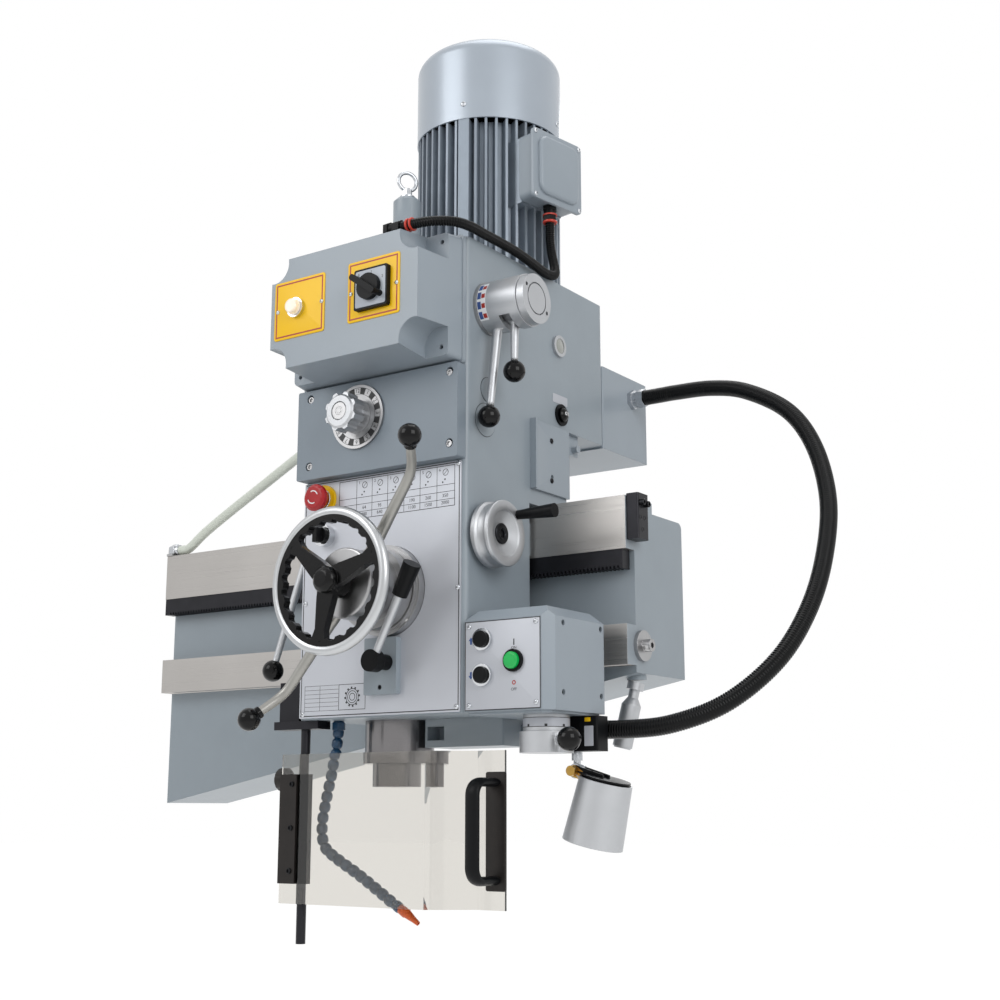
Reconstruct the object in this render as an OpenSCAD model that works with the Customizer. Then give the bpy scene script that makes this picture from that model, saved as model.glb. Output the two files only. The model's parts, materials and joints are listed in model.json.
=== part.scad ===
// Head of a radial arm drill on the free end of its arm, with the arm up to its machined root face.
// The origin is the centre of the bolt pattern on the root face. +X runs along the arm to its free
// end, +Y to the back of the machine and +Z up. The head is drawn in its own frame, whose origin is
// the lower right front corner of its casting, and at_head() puts it in its place on the arm.

/* [Arm] */
// Length of the arm from the root face to the free end
arm_len = 932; // [800:10:1300]
// Height of the ground face of the upper way
upper_way_h = 77; // [60:1:90]
// Height of the ground face of the lower way
lower_way_h = 57; // [45:1:65]
// Height from the top of the lower way to the bottom of the upper way
way_gap = 107; // [95:1:130]
// Depth of both ways, front to back
way_d = 79; // [60:1:95]
// Depth of the beam behind the ways
beam_d = 91; // [60:1:120]
// How far the web is set back from the front of the ways
web_recess = 25; // [22:1:40]
// Step from the top of the upper way down to the top of the beam
beam_step = 16; // [14:1:25]
// Depth of the lower edge under the lower way at the free end
belly_end = 10; // [4:1:30]
// Depth of the lower edge under the lower way at the root
belly_root = 187; // [150:1:240]
// Round along the edges of the beam
beam_r = 10; // [4:1:14]

/* [Arm root pattern] */
// Spacing of the tapped holes, front to back
root_dy = 90; // [70:1:100]
// Spacing of the tapped holes, up and down
root_dz = 300; // [240:1:320]
// Bore of each tapped hole
root_hole_d = 17.5; // [14:0.5:21]
// Depth of each tapped hole
root_hole_depth = 45; // [30:1:60]
// Height of the pattern's centre over the bottom of the lower way
root_z = 20; // [0:1:40]

/* [Rack and stops] */
// Module of the traverse rack and its pinion
rack_m = 2; // [1.5:0.25:2.5]
// Teeth on the traverse pinion
rack_pinion_z = 33; // [30:1:36]
// Width of the rack, front to back
rack_w = 20; // [14:1:22]
// Length of the end stop block along the arm
stop_len = 20; // [12:1:30]
// Height of the end stop block
stop_h = 66; // [50:1:75]
// Diameter of the washer of the lower stop
washer_d = 44; // [36:1:50]
// Diameter of the grip of the arm handle
arm_grip_d = 28; // [24:1:32]
// Length of the grip of the arm handle
arm_grip_len = 72; // [60:1:90]

/* [Head casting] */
// Width of the head along the arm
head_w = 300; // [290:1:330]
// Depth of the lower part of the head, in front of the arm
body_d = 166; // [160:1:180]
// Height of the lower part of the head
body_h = 447; // [430:1:470]
// Depth of the upper housing, over the arm
house_d = 379; // [350:1:420]
// Height of the upper housing
house_h = 236; // [220:1:260]
// Round on the upright edges of the head
head_r = 9; // [4:1:14]
// Free travel from the head to the end stop block
free_right = 130; // [60:1:200]
// Height from the bottom of the head to the underside of its saddle
saddle_z = 316; // [310:1:320]
// Thickness of the guide pads that run on the ways
pad_t = 4; // [2:0.5:8]
// Running clearance of each guide face
slide_c = 0.1; // [0.05:0.01:0.2]
// Drop of the foot under the back of the head
foot_drop = 40; // [20:1:60]
// Length of the foot along the arm
foot_w = 138; // [80:1:160]

/* [Gearbox] */
// Depth of the gearbox hollow, front to back
box_d = 320; // [300:1:330]
// Height of the gearbox hollow
box_h = 140; // [130:1:150]
// Module of the gearbox gears
gear_m = 2.5; // [2:0.5:2.5]
// Teeth on the motor pinion
motor_z = 24; // [20:1:24]
// Teeth on the cluster's large gear
cluster_big_z = 48; // [44:1:50]
// Teeth on the cluster's small gear
cluster_small_z = 28; // [26:1:30]
// Teeth on the spindle's sleeve gear
sleeve_z = 44; // [42:1:46]
// Width of the gearbox gears
gear_w = 24; // [16:1:28]
// Diameter of the cluster's shaft
cluster_shaft_d = 24; // [20:1:30]

/* [Quill and spindle] */
// Quill axis from the head's right side
quill_x = 195; // [190:1:205]
// Quill axis from the head's front
quill_y = 106; // [96:1:110]
// Diameter of the quill
quill_d = 102; // [96:1:106]
// Length of the quill
quill_len = 455; // [450:1:470]
// How far the quill stands out of the head when it is up
quill_out = 62; // [55:1:75]
// Travel of the quill
quill_travel = 200; // [160:5:210]
// Diameter of the spindle's nose
nose_d = 73; // [66:1:80]
// Length of the spindle's nose under the quill
nose_len = 33; // [25:1:45]
// Diameter of the spindle inside the quill
spindle_d = 42; // [38:1:46]
// Diameter of the splined top of the spindle
spline_d = 30; // [26:1:32]
// Large diameter of the taper socket in the nose
taper_d = 31.3; // [23:0.1:45]
// Depth of the taper socket
taper_len = 110; // [80:1:140]
// Diameter of the cap over the top of the spindle
cap_d = 44; // [44:1:60]
// Height of the cap over the top of the spindle
cap_h = 140; // [120:1:170]

/* [Capstan and traverse wheel] */
// Height of the capstan axis over the bottom of the head
capstan_z = 176; // [165:1:185]
// Module of the quill feed pinion
feed_m = 2; // [1.5:0.25:2.5]
// Teeth on the quill feed pinion
feed_z = 14; // [14:1:18]
// Width of the quill feed pinion
feed_w = 26; // [20:1:30]
// Diameter of the hollow feed shaft
feed_shaft_d = 21; // [19:0.5:22]
// Diameter of the traverse shaft inside it
trav_shaft_d = 14; // [12:0.5:15]
// Diameter of the fixed scale ring
ring_d = 130; // [120:1:140]
// Thickness of the fixed scale ring
ring_t = 20; // [14:1:28]
// Diameter of the capstan hub
hub_d = 98; // [90:1:106]
// Distance from the head to the front of the capstan hub
hub_out = 103; // [95:1:115]
// Diameter of the lever rods at the hub
lever_d = 17; // [14:1:20]
// Distance from the axis to the bend of each lever
lever_bend = 182; // [150:1:190]
// Distance from the axis to the ball of each lever
lever_reach = 228; // [200:1:240]
// Angle of the first lever, clockwise from straight up
lever_a = 37; // [0:1:60]
// Angle of the second lever, clockwise from straight up
lever_b = 217; // [190:1:240]
// Diameter of the ball knobs
ball_d = 32; // [26:1:36]
// Outer diameter of the traverse wheel
wheel_d = 204; // [180:1:220]
// Thickness of the traverse wheel's rim
rim_t = 15; // [11:1:18]
// Distance from the head to the middle of the traverse wheel's rim
wheel_out = 128; // [120:1:140]

/* [Front controls] */
// How far the control box stands out of the head
control_d = 98; // [80:1:120]
// Wall of the control box and the other sheet boxes
box_t = 4; // [2:0.5:6]
// Thickness of the gear panel
panel_t = 20; // [12:1:28]
// Thickness of the name plate
plate_t = 2; // [1.5:0.5:4]
// Outer diameter of the feed dial's ring
dial_d = 96; // [80:1:110]
// Diameter of the feed dial's knob
dial_knob_d = 58; // [50:1:66]
// Length of the feed dial's knob
dial_knob_len = 46; // [30:1:55]
// Diameter of the mounting holes of the push buttons
button_hole_d = 22; // [16:0.5:22.5]
// Travel of the push buttons
button_travel = 4; // [2:0.5:5]

/* [Motor] */
// Motor axis from the head's right side
motor_x = 150; // [140:1:160]
// Motor axis from the head's front
motor_y = 268; // [262:1:274]
// Diameter of the motor over its fins
motor_d = 236; // [220:1:250]
// Width of the motor flange's lip round the frame
flange_lip = 11; // [8:1:14]
// Diameter of the motor frame under the fins
frame_d = 200; // [180:1:206]
// Height of the finned frame
frame_h = 277; // [240:1:300]
// Diameter of the fan cowl
cowl_d = 240; // [226:1:256]
// Height of the fan cowl up to its dome
cowl_h = 122; // [90:1:140]
// Height of the cowl's dome
dome_h = 50; // [30:1:60]
// Wall of the cowl
cowl_t = 3; // [2:0.5:5]
// Height of the terminal box over the motor's flange
tbox_up = 132; // [60:1:150]
// Number of fins all round
fin_count = 44; // [30:1:48]
// Thickness of each fin
fin_t = 4; // [3:0.5:6]
// Diameter of the rotor
rotor_d = 130; // [110:1:140]
// Diameter of the motor shaft
motor_shaft_d = 28; // [24:1:32]

/* [Gear levers] */
// Height of the gear lever axis over the bottom of the head
shift_z = 586; // [570:1:600]
// Gear lever axis from the head's front
shift_y = 54; // [52:1:66]
// Diameter of the gear lever barrel
shift_d = 77; // [70:1:84]
// Length of the gear lever barrel
shift_len = 72; // [66:1:90]
// Reach of the long gear lever
shift_reach_long = 172; // [130:1:180]
// Reach of the short gear lever
shift_reach_short = 104; // [90:1:120]

/* [Fine feed wheel] */
// Fine feed axis from the head's front
fine_y = 47; // [47:1:84]
// Fine feed axis over the bottom of the head
fine_z = 250; // [240:1:262]
// Diameter of the fine feed wheel
fine_d = 94; // [80:1:104]
// Thickness of the fine feed wheel
fine_t = 30; // [22:1:36]

/* [Button box] */
// Width of the button box along the arm
bbox_w = 138; // [120:1:150]
// Depth of the button box
bbox_d = 138; // [120:1:150]
// Height of the button box
bbox_h = 138; // [120:1:150]
// Chamfer on the edges of the button box
bbox_c = 14; // [8:1:20]

/* [Lamp and guard] */
// Diameter of the lamp head at its mouth
lamp_d = 83; // [70:1:95]
// Length of the lamp head
lamp_len = 86; // [70:1:110]
// Tilt of the lamp head from straight down
lamp_tilt = 15; // [0:1:30]
// Diameter of the guard rod
rod_d = 14; // [12:1:16]
// Length of the guard rod
rod_len = 378; // [340:1:420]
// Thickness of the guard's clear sheet
sheet_t = 4; // [3:0.5:6]
// Height of the guard's clear sheet
sheet_h = 212; // [180:1:240]

/* [Hidden] */
$fn = 64;
eps = 0.01;

// Colours
paint = "#8e99a3";
panel_paint = "#7c8792";
steel = "#b9bcbe";
aluminium_c = "#c9cccf";
black = "#1b1c1e";

// Running clearance of every shaft in its bore, on the radius
run_c = 0.05;
// Play of the cluster gear's shaft in its two bores, on the radius
bush_c = 0.25;
// Clearance of a knob or button in its bezel, on the radius
knob_c = 0.3;
// Clearance of a gear tooth, as a share of the module
tooth_gap = 0.25;

// The arm, in its own frame
way_top = way_gap + lower_way_h + upper_way_h - root_z;
lower_way_z = -root_z;
upper_way_z = lower_way_z + lower_way_h + way_gap;
web_y = -(way_d + beam_d - web_recess) / 2;
way_y = web_y - web_recess;
beam_y = way_y + way_d;
arm_back = beam_y + beam_d;
beam_top = way_top - beam_step;

// The head's place on the arm
head_x = arm_len - 26 - free_right;
head_y = way_y - pad_t - body_d;
head_z = way_top - saddle_z + pad_t + slide_c;

// Heights in the head's frame
house_z = body_h;
house_top = body_h + house_h;
arm_way_top = way_top - head_z;
arm_rack_back = upper_way_z - head_z;
way_front = way_y - head_y;
way_back = way_front + way_d;
box_wall = 30;
box_z = house_top - 25 - box_h;
box_y = box_wall;
box_w = head_w - 75;

// The capstan shares its axis with the traverse pinion and the quill feed pinion
feed_r = feed_m * feed_z / 2;
rack_depth = 2 * feed_m;
quill_pitch = quill_d / 2 - rack_depth;
capstan_x = quill_x - quill_pitch - feed_r;
trav_r = rack_m * rack_pinion_z / 2;
rack_h = arm_rack_back - capstan_z - trav_r + rack_m;

// The cluster gear stands at its two meshing distances from the motor and the spindle
mesh_motor = gear_m * (motor_z + cluster_big_z) / 2;
mesh_sleeve = gear_m * (cluster_small_z + sleeve_z) / 2;
motor_to_spindle = norm([quill_x - motor_x, motor_y - quill_y]);
mesh_along = (pow(mesh_motor, 2) - pow(mesh_sleeve, 2)
    + pow(motor_to_spindle, 2)) / (2 * motor_to_spindle);
mesh_aside = sqrt(pow(mesh_motor, 2) - pow(mesh_along, 2));
mesh_dir = [motor_x - quill_x, quill_y - motor_y] / motor_to_spindle;
cluster_pos = [-motor_x, motor_y] + mesh_along * mesh_dir + mesh_aside * [-mesh_dir[1], mesh_dir[0]];
low_gear_z = box_z + 25;
high_gear_z = low_gear_z + gear_w + 24;
bearing_t = 14;
sleeve_d = spline_d + 16;

module at_head() translate([head_x, head_y, head_z]) children();
module at_quill() translate([-quill_x, quill_y, 0]) children();
module at_capstan() translate([-capstan_x, 0, capstan_z]) rotate([90, 0, 0]) children();
module at_motor() translate([-motor_x, motor_y, house_top]) children();
module at_cluster() translate([cluster_pos[0], cluster_pos[1], 0]) children();
module at_shift() translate([0, shift_y, shift_z]) rotate([0, 90, 0]) children();
module at_fine() translate([0, fine_y, fine_z]) rotate([0, 90, 0]) children();

// A rectangle with round corners, from its lower left corner
module round_rect(w, h, r) {
    translate([r, 0]) square([w - 2 * r, h]);
    translate([0, r]) square([w, h - 2 * r]);
    for (x = [r, w - r], y = [r, h - r]) translate([x, y]) circle(r);
}

// A block with round upright edges
module round_block(w, d, h, r) linear_extrude(h) round_rect(w, d, r);

// A block whose round edges run front to back, from its lower left front corner
module front_block(w, d, h, r) translate([0, d, 0]) rotate([90, 0, 0]) linear_extrude(d)
    round_rect(w, h, r);

// A plain ring along +Z
module ring(outer, inner, h) {
    difference() {
        cylinder(d = outer, h = h);
        translate([0, 0, -1]) cylinder(d = inner, h = h + 2);
    }
}

// Involute spur gear: half the tooth's angle at radius r, for pitch radius rp and 20 degrees
function inv(a) = tan(a) * 180 / PI - a;
function flank_angle(r, rp) = let (rb = rp * cos(20)) r <= rb ? 0 : acos(rb / r);
function tooth_half(r, rp, z) = 84 / z + inv(20) - inv(flank_angle(r, rp));
function polar(r, a) = [r * cos(a), r * sin(a)];
module gear_2d(m, z) {
    rp = m * z / 2;
    tip = rp + 0.9 * m;
    root = rp - (1 + tooth_gap) * m;
    radii = [root, rp - 0.5 * m, rp, tip];
    polygon([for (k = [0 : z - 1]) each concat(
        [for (r = radii) polar(r, k * 360 / z - tooth_half(r, rp, z))],
        [for (i = [3 : -1 : 0]) polar(radii[i], k * 360 / z + tooth_half(radii[i], rp, z))])]);
}

// Rack teeth along +X with their tips down, pitch line at y = 0, a gap centred on x = 0
module rack_gaps(m, first, last) {
    pitch = PI * m;
    half = pitch / 4 + 0.04 * pitch;
    deep = (1 + tooth_gap) * m;
    high = m;
    for (k = [first : last]) translate([k * pitch, 0]) polygon([
        [-half - high * tan(20), -high - eps], [half + high * tan(20), -high - eps],
        [half - deep * tan(20), deep], [-half + deep * tan(20), deep]]);
}

// A ball knob on its thread end
module ball() sphere(d = ball_d);

// A straight rod from a to b, tapered from d1 to d2
module rod(a, b, d1, d2, turn = 0) {
    v = b - a;
    len = norm(v);
    translate(a) rotate([0, acos(v[2] / len), atan2(v[1], v[0])]) rotate(turn)
        cylinder(d1 = d1, d2 = d2, h = len);
}

// Arm

module arm_profile() {
    translate([way_y, upper_way_z]) square([way_d, upper_way_h]);
    translate([way_y, lower_way_z]) square([way_d, lower_way_h]);
    translate([web_y, lower_way_z]) square([arm_back - web_y, beam_top - lower_way_z - beam_r]);
    translate([web_y, lower_way_z]) square([arm_back - web_y - beam_r, beam_top - lower_way_z]);
    translate([arm_back - beam_r, beam_top - beam_r]) circle(beam_r);
}

module arm_belly() {
    translate([0, arm_back, 0]) rotate([90, 0, 0]) linear_extrude(arm_back - web_y)
        polygon([[0, lower_way_z + eps], [0, lower_way_z - belly_root],
            [arm_len, lower_way_z - belly_end], [arm_len, lower_way_z + eps]]);
}

module arm_casting() {
    color(paint) difference() {
        union() {
            rotate([90, 0, 90]) linear_extrude(arm_len) arm_profile();
            arm_belly();
            translate([handle_x, handle_y, lower_way_z - belly_end - boss_drop])
                cylinder(d = collar_d, h = 30);
        }
        for (y = [-1, 1], z = [-1, 1])
            translate([-1, y * root_dy / 2, z * root_dz / 2]) rotate([0, 90, 0])
                cylinder(d = root_hole_d, h = root_hole_depth + 1);
    }
}

rack_len = arm_len - 6;
rack_phase = head_x - capstan_x;
rack_first = -floor((rack_phase - 8) / (PI * rack_m));
rack_last = floor((rack_len - rack_phase - 4) / (PI * rack_m));

module traverse_rack() {
    color(black) translate([rack_phase, way_y + web_recess - 4, upper_way_z]) rotate([90, 0, 0])
        linear_extrude(rack_w) difference() {
            translate([-rack_phase, -rack_h]) square([rack_len, rack_h]);
            translate([0, rack_m - rack_h]) rack_gaps(rack_m, rack_first, rack_last);
        }
}

module end_stops() {
    lower_stop();
    hose_union();
    color(black) translate([arm_len, way_y + 2, way_top + 2 - stop_h]) round_block(stop_len, 31, stop_h, 3);
}

// The union at the far end of the coolant hose, on top of the upper way
module hose_union() {
    end = coolant_route[len(coolant_route) - 1] + [head_x, head_y, head_z];
    x = end[0] - slide_c;
    color(steel) translate([end[0], end[1], way_top]) mirror([1, 0, 0]) translate([slide_c, -14, 0]) {
        cube([x, 28, 4]);
        translate([0, 4, 4 - eps]) cube([x, 20, end[2] - way_top - 2]);
        translate([0, 14, end[2] - way_top]) rotate([0, 90, 0])
            cylinder(d = coolant_d + 6, h = x, $fn = 6);
    }
}

washer_y = way_y + way_d / 2;
module lower_stop() {
    z = lower_way_z + lower_way_h / 2;
    color(steel) translate([arm_len, washer_y, z]) rotate([0, 90, 0]) difference() {
        union() {
            cylinder(d = washer_d, h = 6);
            translate([0, 0, 6 - eps]) cylinder(d = 18, h = 12);
        }
        translate([0, 0, 10]) cylinder(d = 9, h = 9, $fn = 6);
    }
}

handle_x = arm_len - 4 - arm_grip_d / 2;
handle_y = way_y + 57;
collar_d = 28;
boss_drop = 8;
module arm_handle() {
    top = lower_way_z - belly_end - boss_drop;
    color(aluminium_c) translate([handle_x, handle_y, top]) rotate([-6, 12, 0]) translate([0, 0, -eps]) {
        translate([0, 0, -14]) cylinder(d = collar_d - 4, h = 14 - 3);
        translate([0, 0, -26]) cylinder(d = 15, h = 13);
        translate([0, 0, -26 - arm_grip_len]) {
            cylinder(d = arm_grip_d - 4, h = 2 + eps);
            translate([0, 0, 2]) cylinder(d = arm_grip_d, h = arm_grip_len - 12);
            translate([0, 0, arm_grip_len - 10 - eps])
                cylinder(d1 = arm_grip_d, d2 = 16, h = 10 + 2 * eps);
        }
    }
}

// Head casting

saddle_back = way_back + 14;
hook_z = arm_way_top - 13;

module head_shape() {
    translate([-head_w, 0, 0]) round_block(head_w, body_d, house_z + eps, head_r);
    translate([-head_w, 0, house_z]) round_block(head_w, house_d, house_h, head_r);
    translate([-head_w + 4, body_d - head_r - 1, saddle_z])
        cube([head_w - 4, saddle_back - body_d + head_r + 1, house_z - saddle_z + eps]);
    translate([-head_w + 4, way_back + slide_c, hook_z])
        cube([head_w - 8, saddle_back - way_back - slide_c, saddle_z - hook_z + eps]);
    pads();
    foot();
    translate([-quill_x, quill_y, house_top - eps]) cylinder(d = cap_d, h = cap_h - 6);
    translate([-quill_x, quill_y, house_top + cap_h - 6 - 2 * eps])
        cylinder(d1 = cap_d, d2 = cap_d - 12, h = 6);
}

module pads() {
    for (z = [arm_rack_back + 4, lower_way_z - head_z + 4])
        translate([-head_w + 6, body_d - eps, z])
            cube([head_w - 12, pad_t - slide_c + eps, min(upper_way_h, lower_way_h) - 8]);
    translate([-head_w + 6, way_front + 10, saddle_z - pad_t])
        cube([head_w - 12, way_d - 20, pad_t + eps]);
}

module foot() {
    translate([-foot_w, body_d - 76, -foot_drop]) difference() {
        round_block(foot_w, 74, foot_drop + eps, 4);
        translate([6, -1, 10]) cube([30, 30, foot_drop - 20]);
    }
}

module gearbox_hollow() {
    translate([-head_w + 15, box_y, box_z]) round_block(box_w, box_d, box_h, 12);
}

module head_bores() {
    at_quill() {
        translate([0, 0, -1]) cylinder(r = quill_d / 2 + run_c, h = quill_len - quill_out + 8);
        translate([0, 0, quill_len - quill_out])
            cylinder(d = spindle_d + 8, h = box_z - quill_len + quill_out);
        translate([0, 0, box_z + box_h]) cylinder(d = spline_d + 6,
            h = house_top + cap_h - 12 - box_z - box_h);
        for (z = [box_z - bearing_t, box_z + box_h - 2])
            translate([0, 0, z]) cylinder(d = sleeve_d + 20, h = bearing_t + 2);
        translate([0, 0, house_top + cap_h - 16]) cylinder(d = 12, h = 20);
    }
    at_capstan() {
        translate([0, 0, 1]) mirror([0, 0, 1])
            cylinder(r = feed_r + feed_m + 1.5, h = quill_y + feed_w / 2 + 3);
        translate([0, 0, 1]) mirror([0, 0, 1]) cylinder(d = trav_shaft_d + 2 * run_c, h = body_d + 12);
    }
    at_cluster() for (z = [box_z - bearing_t, box_z + box_h - 2])
        translate([0, 0, z]) cylinder(r = cluster_shaft_d / 2 + bush_c, h = bearing_t + 2);
    at_motor() translate([0, 0, -30]) cylinder(d = motor_shaft_d + 8, h = 40);
    at_shift() translate([0, 0, -40]) cylinder(d = 24 + 2 * run_c, h = 42);
    at_fine() translate([0, 0, -40]) cylinder(d = 16 + 2 * run_c, h = 42);
    translate([side_lever_at[0] - 1, side_lever_at[1], side_lever_at[2]]) rotate([0, 90, 0])
        cylinder(d = 12 + 2 * run_c, h = 31);
    translate([dial_at[0], -1, dial_at[1]]) rotate([-90, 0, 0]) cylinder(d = 20, h = 32);
    for (p = [estop_at, selector_at]) translate([p[0], -1, p[1]]) rotate([-90, 0, 0])
        cylinder(d = button_hole_d + 2, h = 41);
    translate([dome_at[0] - 20, dome_at[1], dome_at[2]]) rotate([0, 90, 0]) cylinder(d = 24, h = 21);
    translate([clamp_at[0], -1, clamp_at[1]]) rotate([-90, 0, 0]) cylinder(d = 12 + 2 * run_c, h = 31);
}

module head_casting() {
    color(paint) at_head() difference() {
        head_shape();
        gearbox_hollow();
        head_bores();
    }
}

// Covers and boxes on the head

scoop_r = 30;
control_flange = 8;
control_h = house_h - 44;
control_z = house_top - control_h;
module control_outline(grow) {
    translate([-head_w + 1 - grow, 0]) round_rect(head_w - 2 + 2 * grow, control_h + 2 * grow, 6);
}
module control_body(inset) {
    draft = 10;
    hull() {
        translate([0, -control_flange + inset, 0]) rotate([90, 0, 0]) linear_extrude(eps)
            translate([-head_w + 3 + inset, 2 + inset])
                round_rect(head_w - 6 - 2 * inset, control_h - 4 - 2 * inset, 7, $fn = 24);
        translate([0, eps - control_d + inset, 0]) rotate([90, 0, 0]) linear_extrude(eps)
            translate([-head_w + 3 + draft + inset, 2 + draft + inset])
                round_rect(head_w - 6 - 2 * draft - 2 * inset, control_h - 4 - 2 * draft - 2 * inset, 9,
                    $fn = 24);
    }
}
scoops = [for (x = [-head_w + 18, -18], z = [18, control_h - 18]) [x, z]];
scoop_floor = 28;
module scoop_cuts(shrink, floor) {
    for (p = scoops) translate([p[0], -control_flange - floor, p[1]]) rotate([90, 0, 0])
        cylinder(r1 = scoop_r - shrink, r2 = scoop_r - 4 - shrink, h = control_d, $fn = 32);
}
module control_box() {
    color(paint) at_head() translate([0, 0, control_z]) difference() {
        union() {
            rotate([90, 0, 0]) linear_extrude(control_flange) control_outline(0);
            difference() {
                control_body(0);
                scoop_cuts(0, scoop_floor);
            }
        }
        difference() {
            translate([0, control_flange + eps, 0]) control_body(box_t);
            scoop_cuts(-box_t, 0);
        }
        for (p = scoops) translate([p[0], 1, p[1]]) rotate([90, 0, 0])
            cylinder(d = 7, h = control_flange + scoop_floor + 2);
        translate([switch_at[0], 1, switch_at[1] - control_z]) rotate([90, 0, 0])
            cylinder(d = 20, h = control_d + 2);
        translate([pilot_at[0], 1, pilot_at[1] - control_z]) rotate([90, 0, 0])
            cylinder(d = button_hole_d, h = control_d + 2);
    }
}

gear_panel_h = 138;
gear_panel_z = house_top - control_h - gear_panel_h;
module gear_panel() {
    color(panel_paint) at_head() translate([-head_w + 1, -panel_t, gear_panel_z]) difference() {
        front_block(head_w - 2, panel_t, gear_panel_h - 1, 3);
        translate([head_w - 1 + dial_at[0], -1, dial_at[1] - gear_panel_z]) rotate([-90, 0, 0])
            cylinder(d = 20, h = panel_t + 2);
        for (x = [24, head_w - 16], z = [20, gear_panel_h - 14])
            translate([x, -1, z]) rotate([-90, 0, 0]) cylinder(d = 13, h = 9);
    }
}

plate_h = gear_panel_z - 4;
module name_plate() {
    color(aluminium_c) at_head() difference() {
        translate([-head_w + 3, -plate_t, 2]) front_block(head_w - 10, plate_t, plate_h, 2);
        at_capstan() translate([0, 0, -1]) cylinder(d = ring_d + 1, h = plate_t + 2);
        for (p = [estop_at, selector_at]) translate([p[0], -plate_t - 1, p[1]]) rotate([-90, 0, 0])
            cylinder(d = button_hole_d + 2, h = plate_t + 2);
        translate([clamp_at[0], -plate_t - 1, clamp_at[1]]) rotate([-90, 0, 0])
            cylinder(d = 24, h = plate_t + 2);
    }
}

module side_cover() {
    color(paint) at_head() translate([0, body_d - 4, saddle_z + 23]) {
        difference() {
            cube([5, saddle_back + 6 - body_d, house_z - saddle_z - 24]);
            for (z = [26, house_z - saddle_z - 50]) translate([-1, (saddle_back + 10 - body_d) / 2, z])
                rotate([0, 90, 0]) cylinder(d = 7, h = 7);
        }
        translate([5 - eps, 0, 0]) cube([6, 4, house_z - saddle_z - 24]);
    }
}

rear_w = 250;
rear_d = 146;
rear_h = 138;
module rear_box() {
    limit_switch();
    color(paint) at_head() translate([-rear_w - 1, house_d, house_z - 3]) difference() {
        round_block(rear_w, rear_d, rear_h, 3);
        translate([box_t, -1, box_t]) cube([rear_w - 2 * box_t, rear_d - box_t + 1, rear_h - 2 * box_t]);
        translate([rear_w - box_t - 1, rear_gland_y, rear_gland_z]) rotate([0, 90, 0])
            cylinder(d = 26, h = box_t + 2);
    }
}
rear_gland_y = 95;
rear_gland_z = 102;

// A cable gland along +Z: a hexagon nut, a body and a dome nut, with a bore for the cable
module gland(d, cable) {
    difference() {
        union() {
            cylinder(d = d + 6, h = 7, $fn = 6);
            translate([0, 0, 7 - eps]) cylinder(d = d, h = 8);
            translate([0, 0, 15 - 2 * eps]) cylinder(d = d + 4, h = 12, $fn = 6);
        }
        translate([0, 0, -1]) cylinder(d = cable - 6, h = 30);
    }
}

hose_d = 26;
conduit_d = 15;
module cable_glands() {
    color(steel) at_head() {
        translate([-1, house_d + rear_gland_y, house_z - 3 + rear_gland_z]) rotate([0, 90, 0])
            gland(hose_d + 2, hose_d);
        translate([0, foot_gland_y, -18]) rotate([0, 90, 0]) gland(hose_d - 2, hose_d);
        translate([-head_w, coolant_route[0][1], coolant_route[0][2]]) rotate([0, -90, 0])
            cylinder(d = coolant_d + 6, h = 12, $fn = 6);
    }
    color(black) at_head() {
        translate(conduit_route[0]) rotate([0, 90, 0]) translate([0, 0, -27])
            gland(conduit_d + 3, conduit_d);
        translate([-90, conduit_route[0][1],
            house_top - 2 - 10 * (-conduit_route[0][1] - control_flange) / (control_d - control_flange)])
            rotate([atan(10 / (control_d - control_flange)), 0, 0]) translate([0, -12, 0])
                cube([16, 24, 6]);
        translate(conduit_route[len(conduit_route) - 1]) rotate([180, 0, 0]) translate([0, 0, -27])
            gland(conduit_d + 3, conduit_d);
    }
}

module limit_switch() {
    color(black) at_head() translate([-34, saddle_back + 20, house_z - 32]) {
        cube([26, 28, 32]);
        translate([26 - eps, 14, 10]) rotate([0, 90, 0]) cylinder(d = 12, h = 10);
    }
}

module lifting_eye() {
    color(steel) at_head() translate([-quill_x, quill_y, house_top + cap_h - 16]) {
        cylinder(d = 12, h = 22);
        translate([0, 0, 16]) cylinder(d = 24, h = 4);
        translate([0, 0, 20 - eps]) cylinder(d = 16, h = 12, $fn = 6);
        translate([0, 0, 46]) rotate([90, 0, 60]) rotate_extrude($fn = 48) translate([15, 0])
            circle(d = 6, $fn = 20);
        translate([0, 0, 32 - 2 * eps]) cylinder(d = 9, h = 2);
    }
}

module sight_glass() {
    color(steel) at_head() translate([0, 242, 579]) rotate([0, 90, 0]) {
        ring(34, 24, 5);
        cylinder(d = 23.4, h = 3);
    }
}

// Front controls: places in the front plane of the head
dial_at = [-180, 435];
estop_at = [-257, 323];
selector_at = [-252, 268];
switch_at = [-90, 591];
pilot_at = [-235, 591];
clamp_at = [-127, 74];
dome_at = [0, 249, 470];

module front_at(p, out) translate([p[0], -out, p[1]]) rotate([90, 0, 0]) children();

module button_bezels() {
    color(steel) at_head() {
        front_at(estop_at, plate_t) ring(44, button_hole_d + 1, 5);
        front_at(selector_at, plate_t) ring(32, button_hole_d + 1, 12);
        front_at(pilot_at, control_d) ring(30, button_hole_d - 4, 7);
        for (b = [up_at, down_at, light_at]) translate([b[0], -bbox_front, b[1]]) rotate([90, 0, 0])
            ring(30, button_hole_d + 1, 6);
    }
    color(black) at_head() {
        front_at(switch_at, control_d) difference() {
            translate([-30, -30, 0]) linear_extrude(9) round_rect(60, 60, 3);
            translate([0, 0, -1]) cylinder(d = 12 + 2 * run_c, h = 12);
        }
        translate(dome_at) rotate([0, 90, 0]) ring(34, 24, 3);
    }
}

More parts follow.
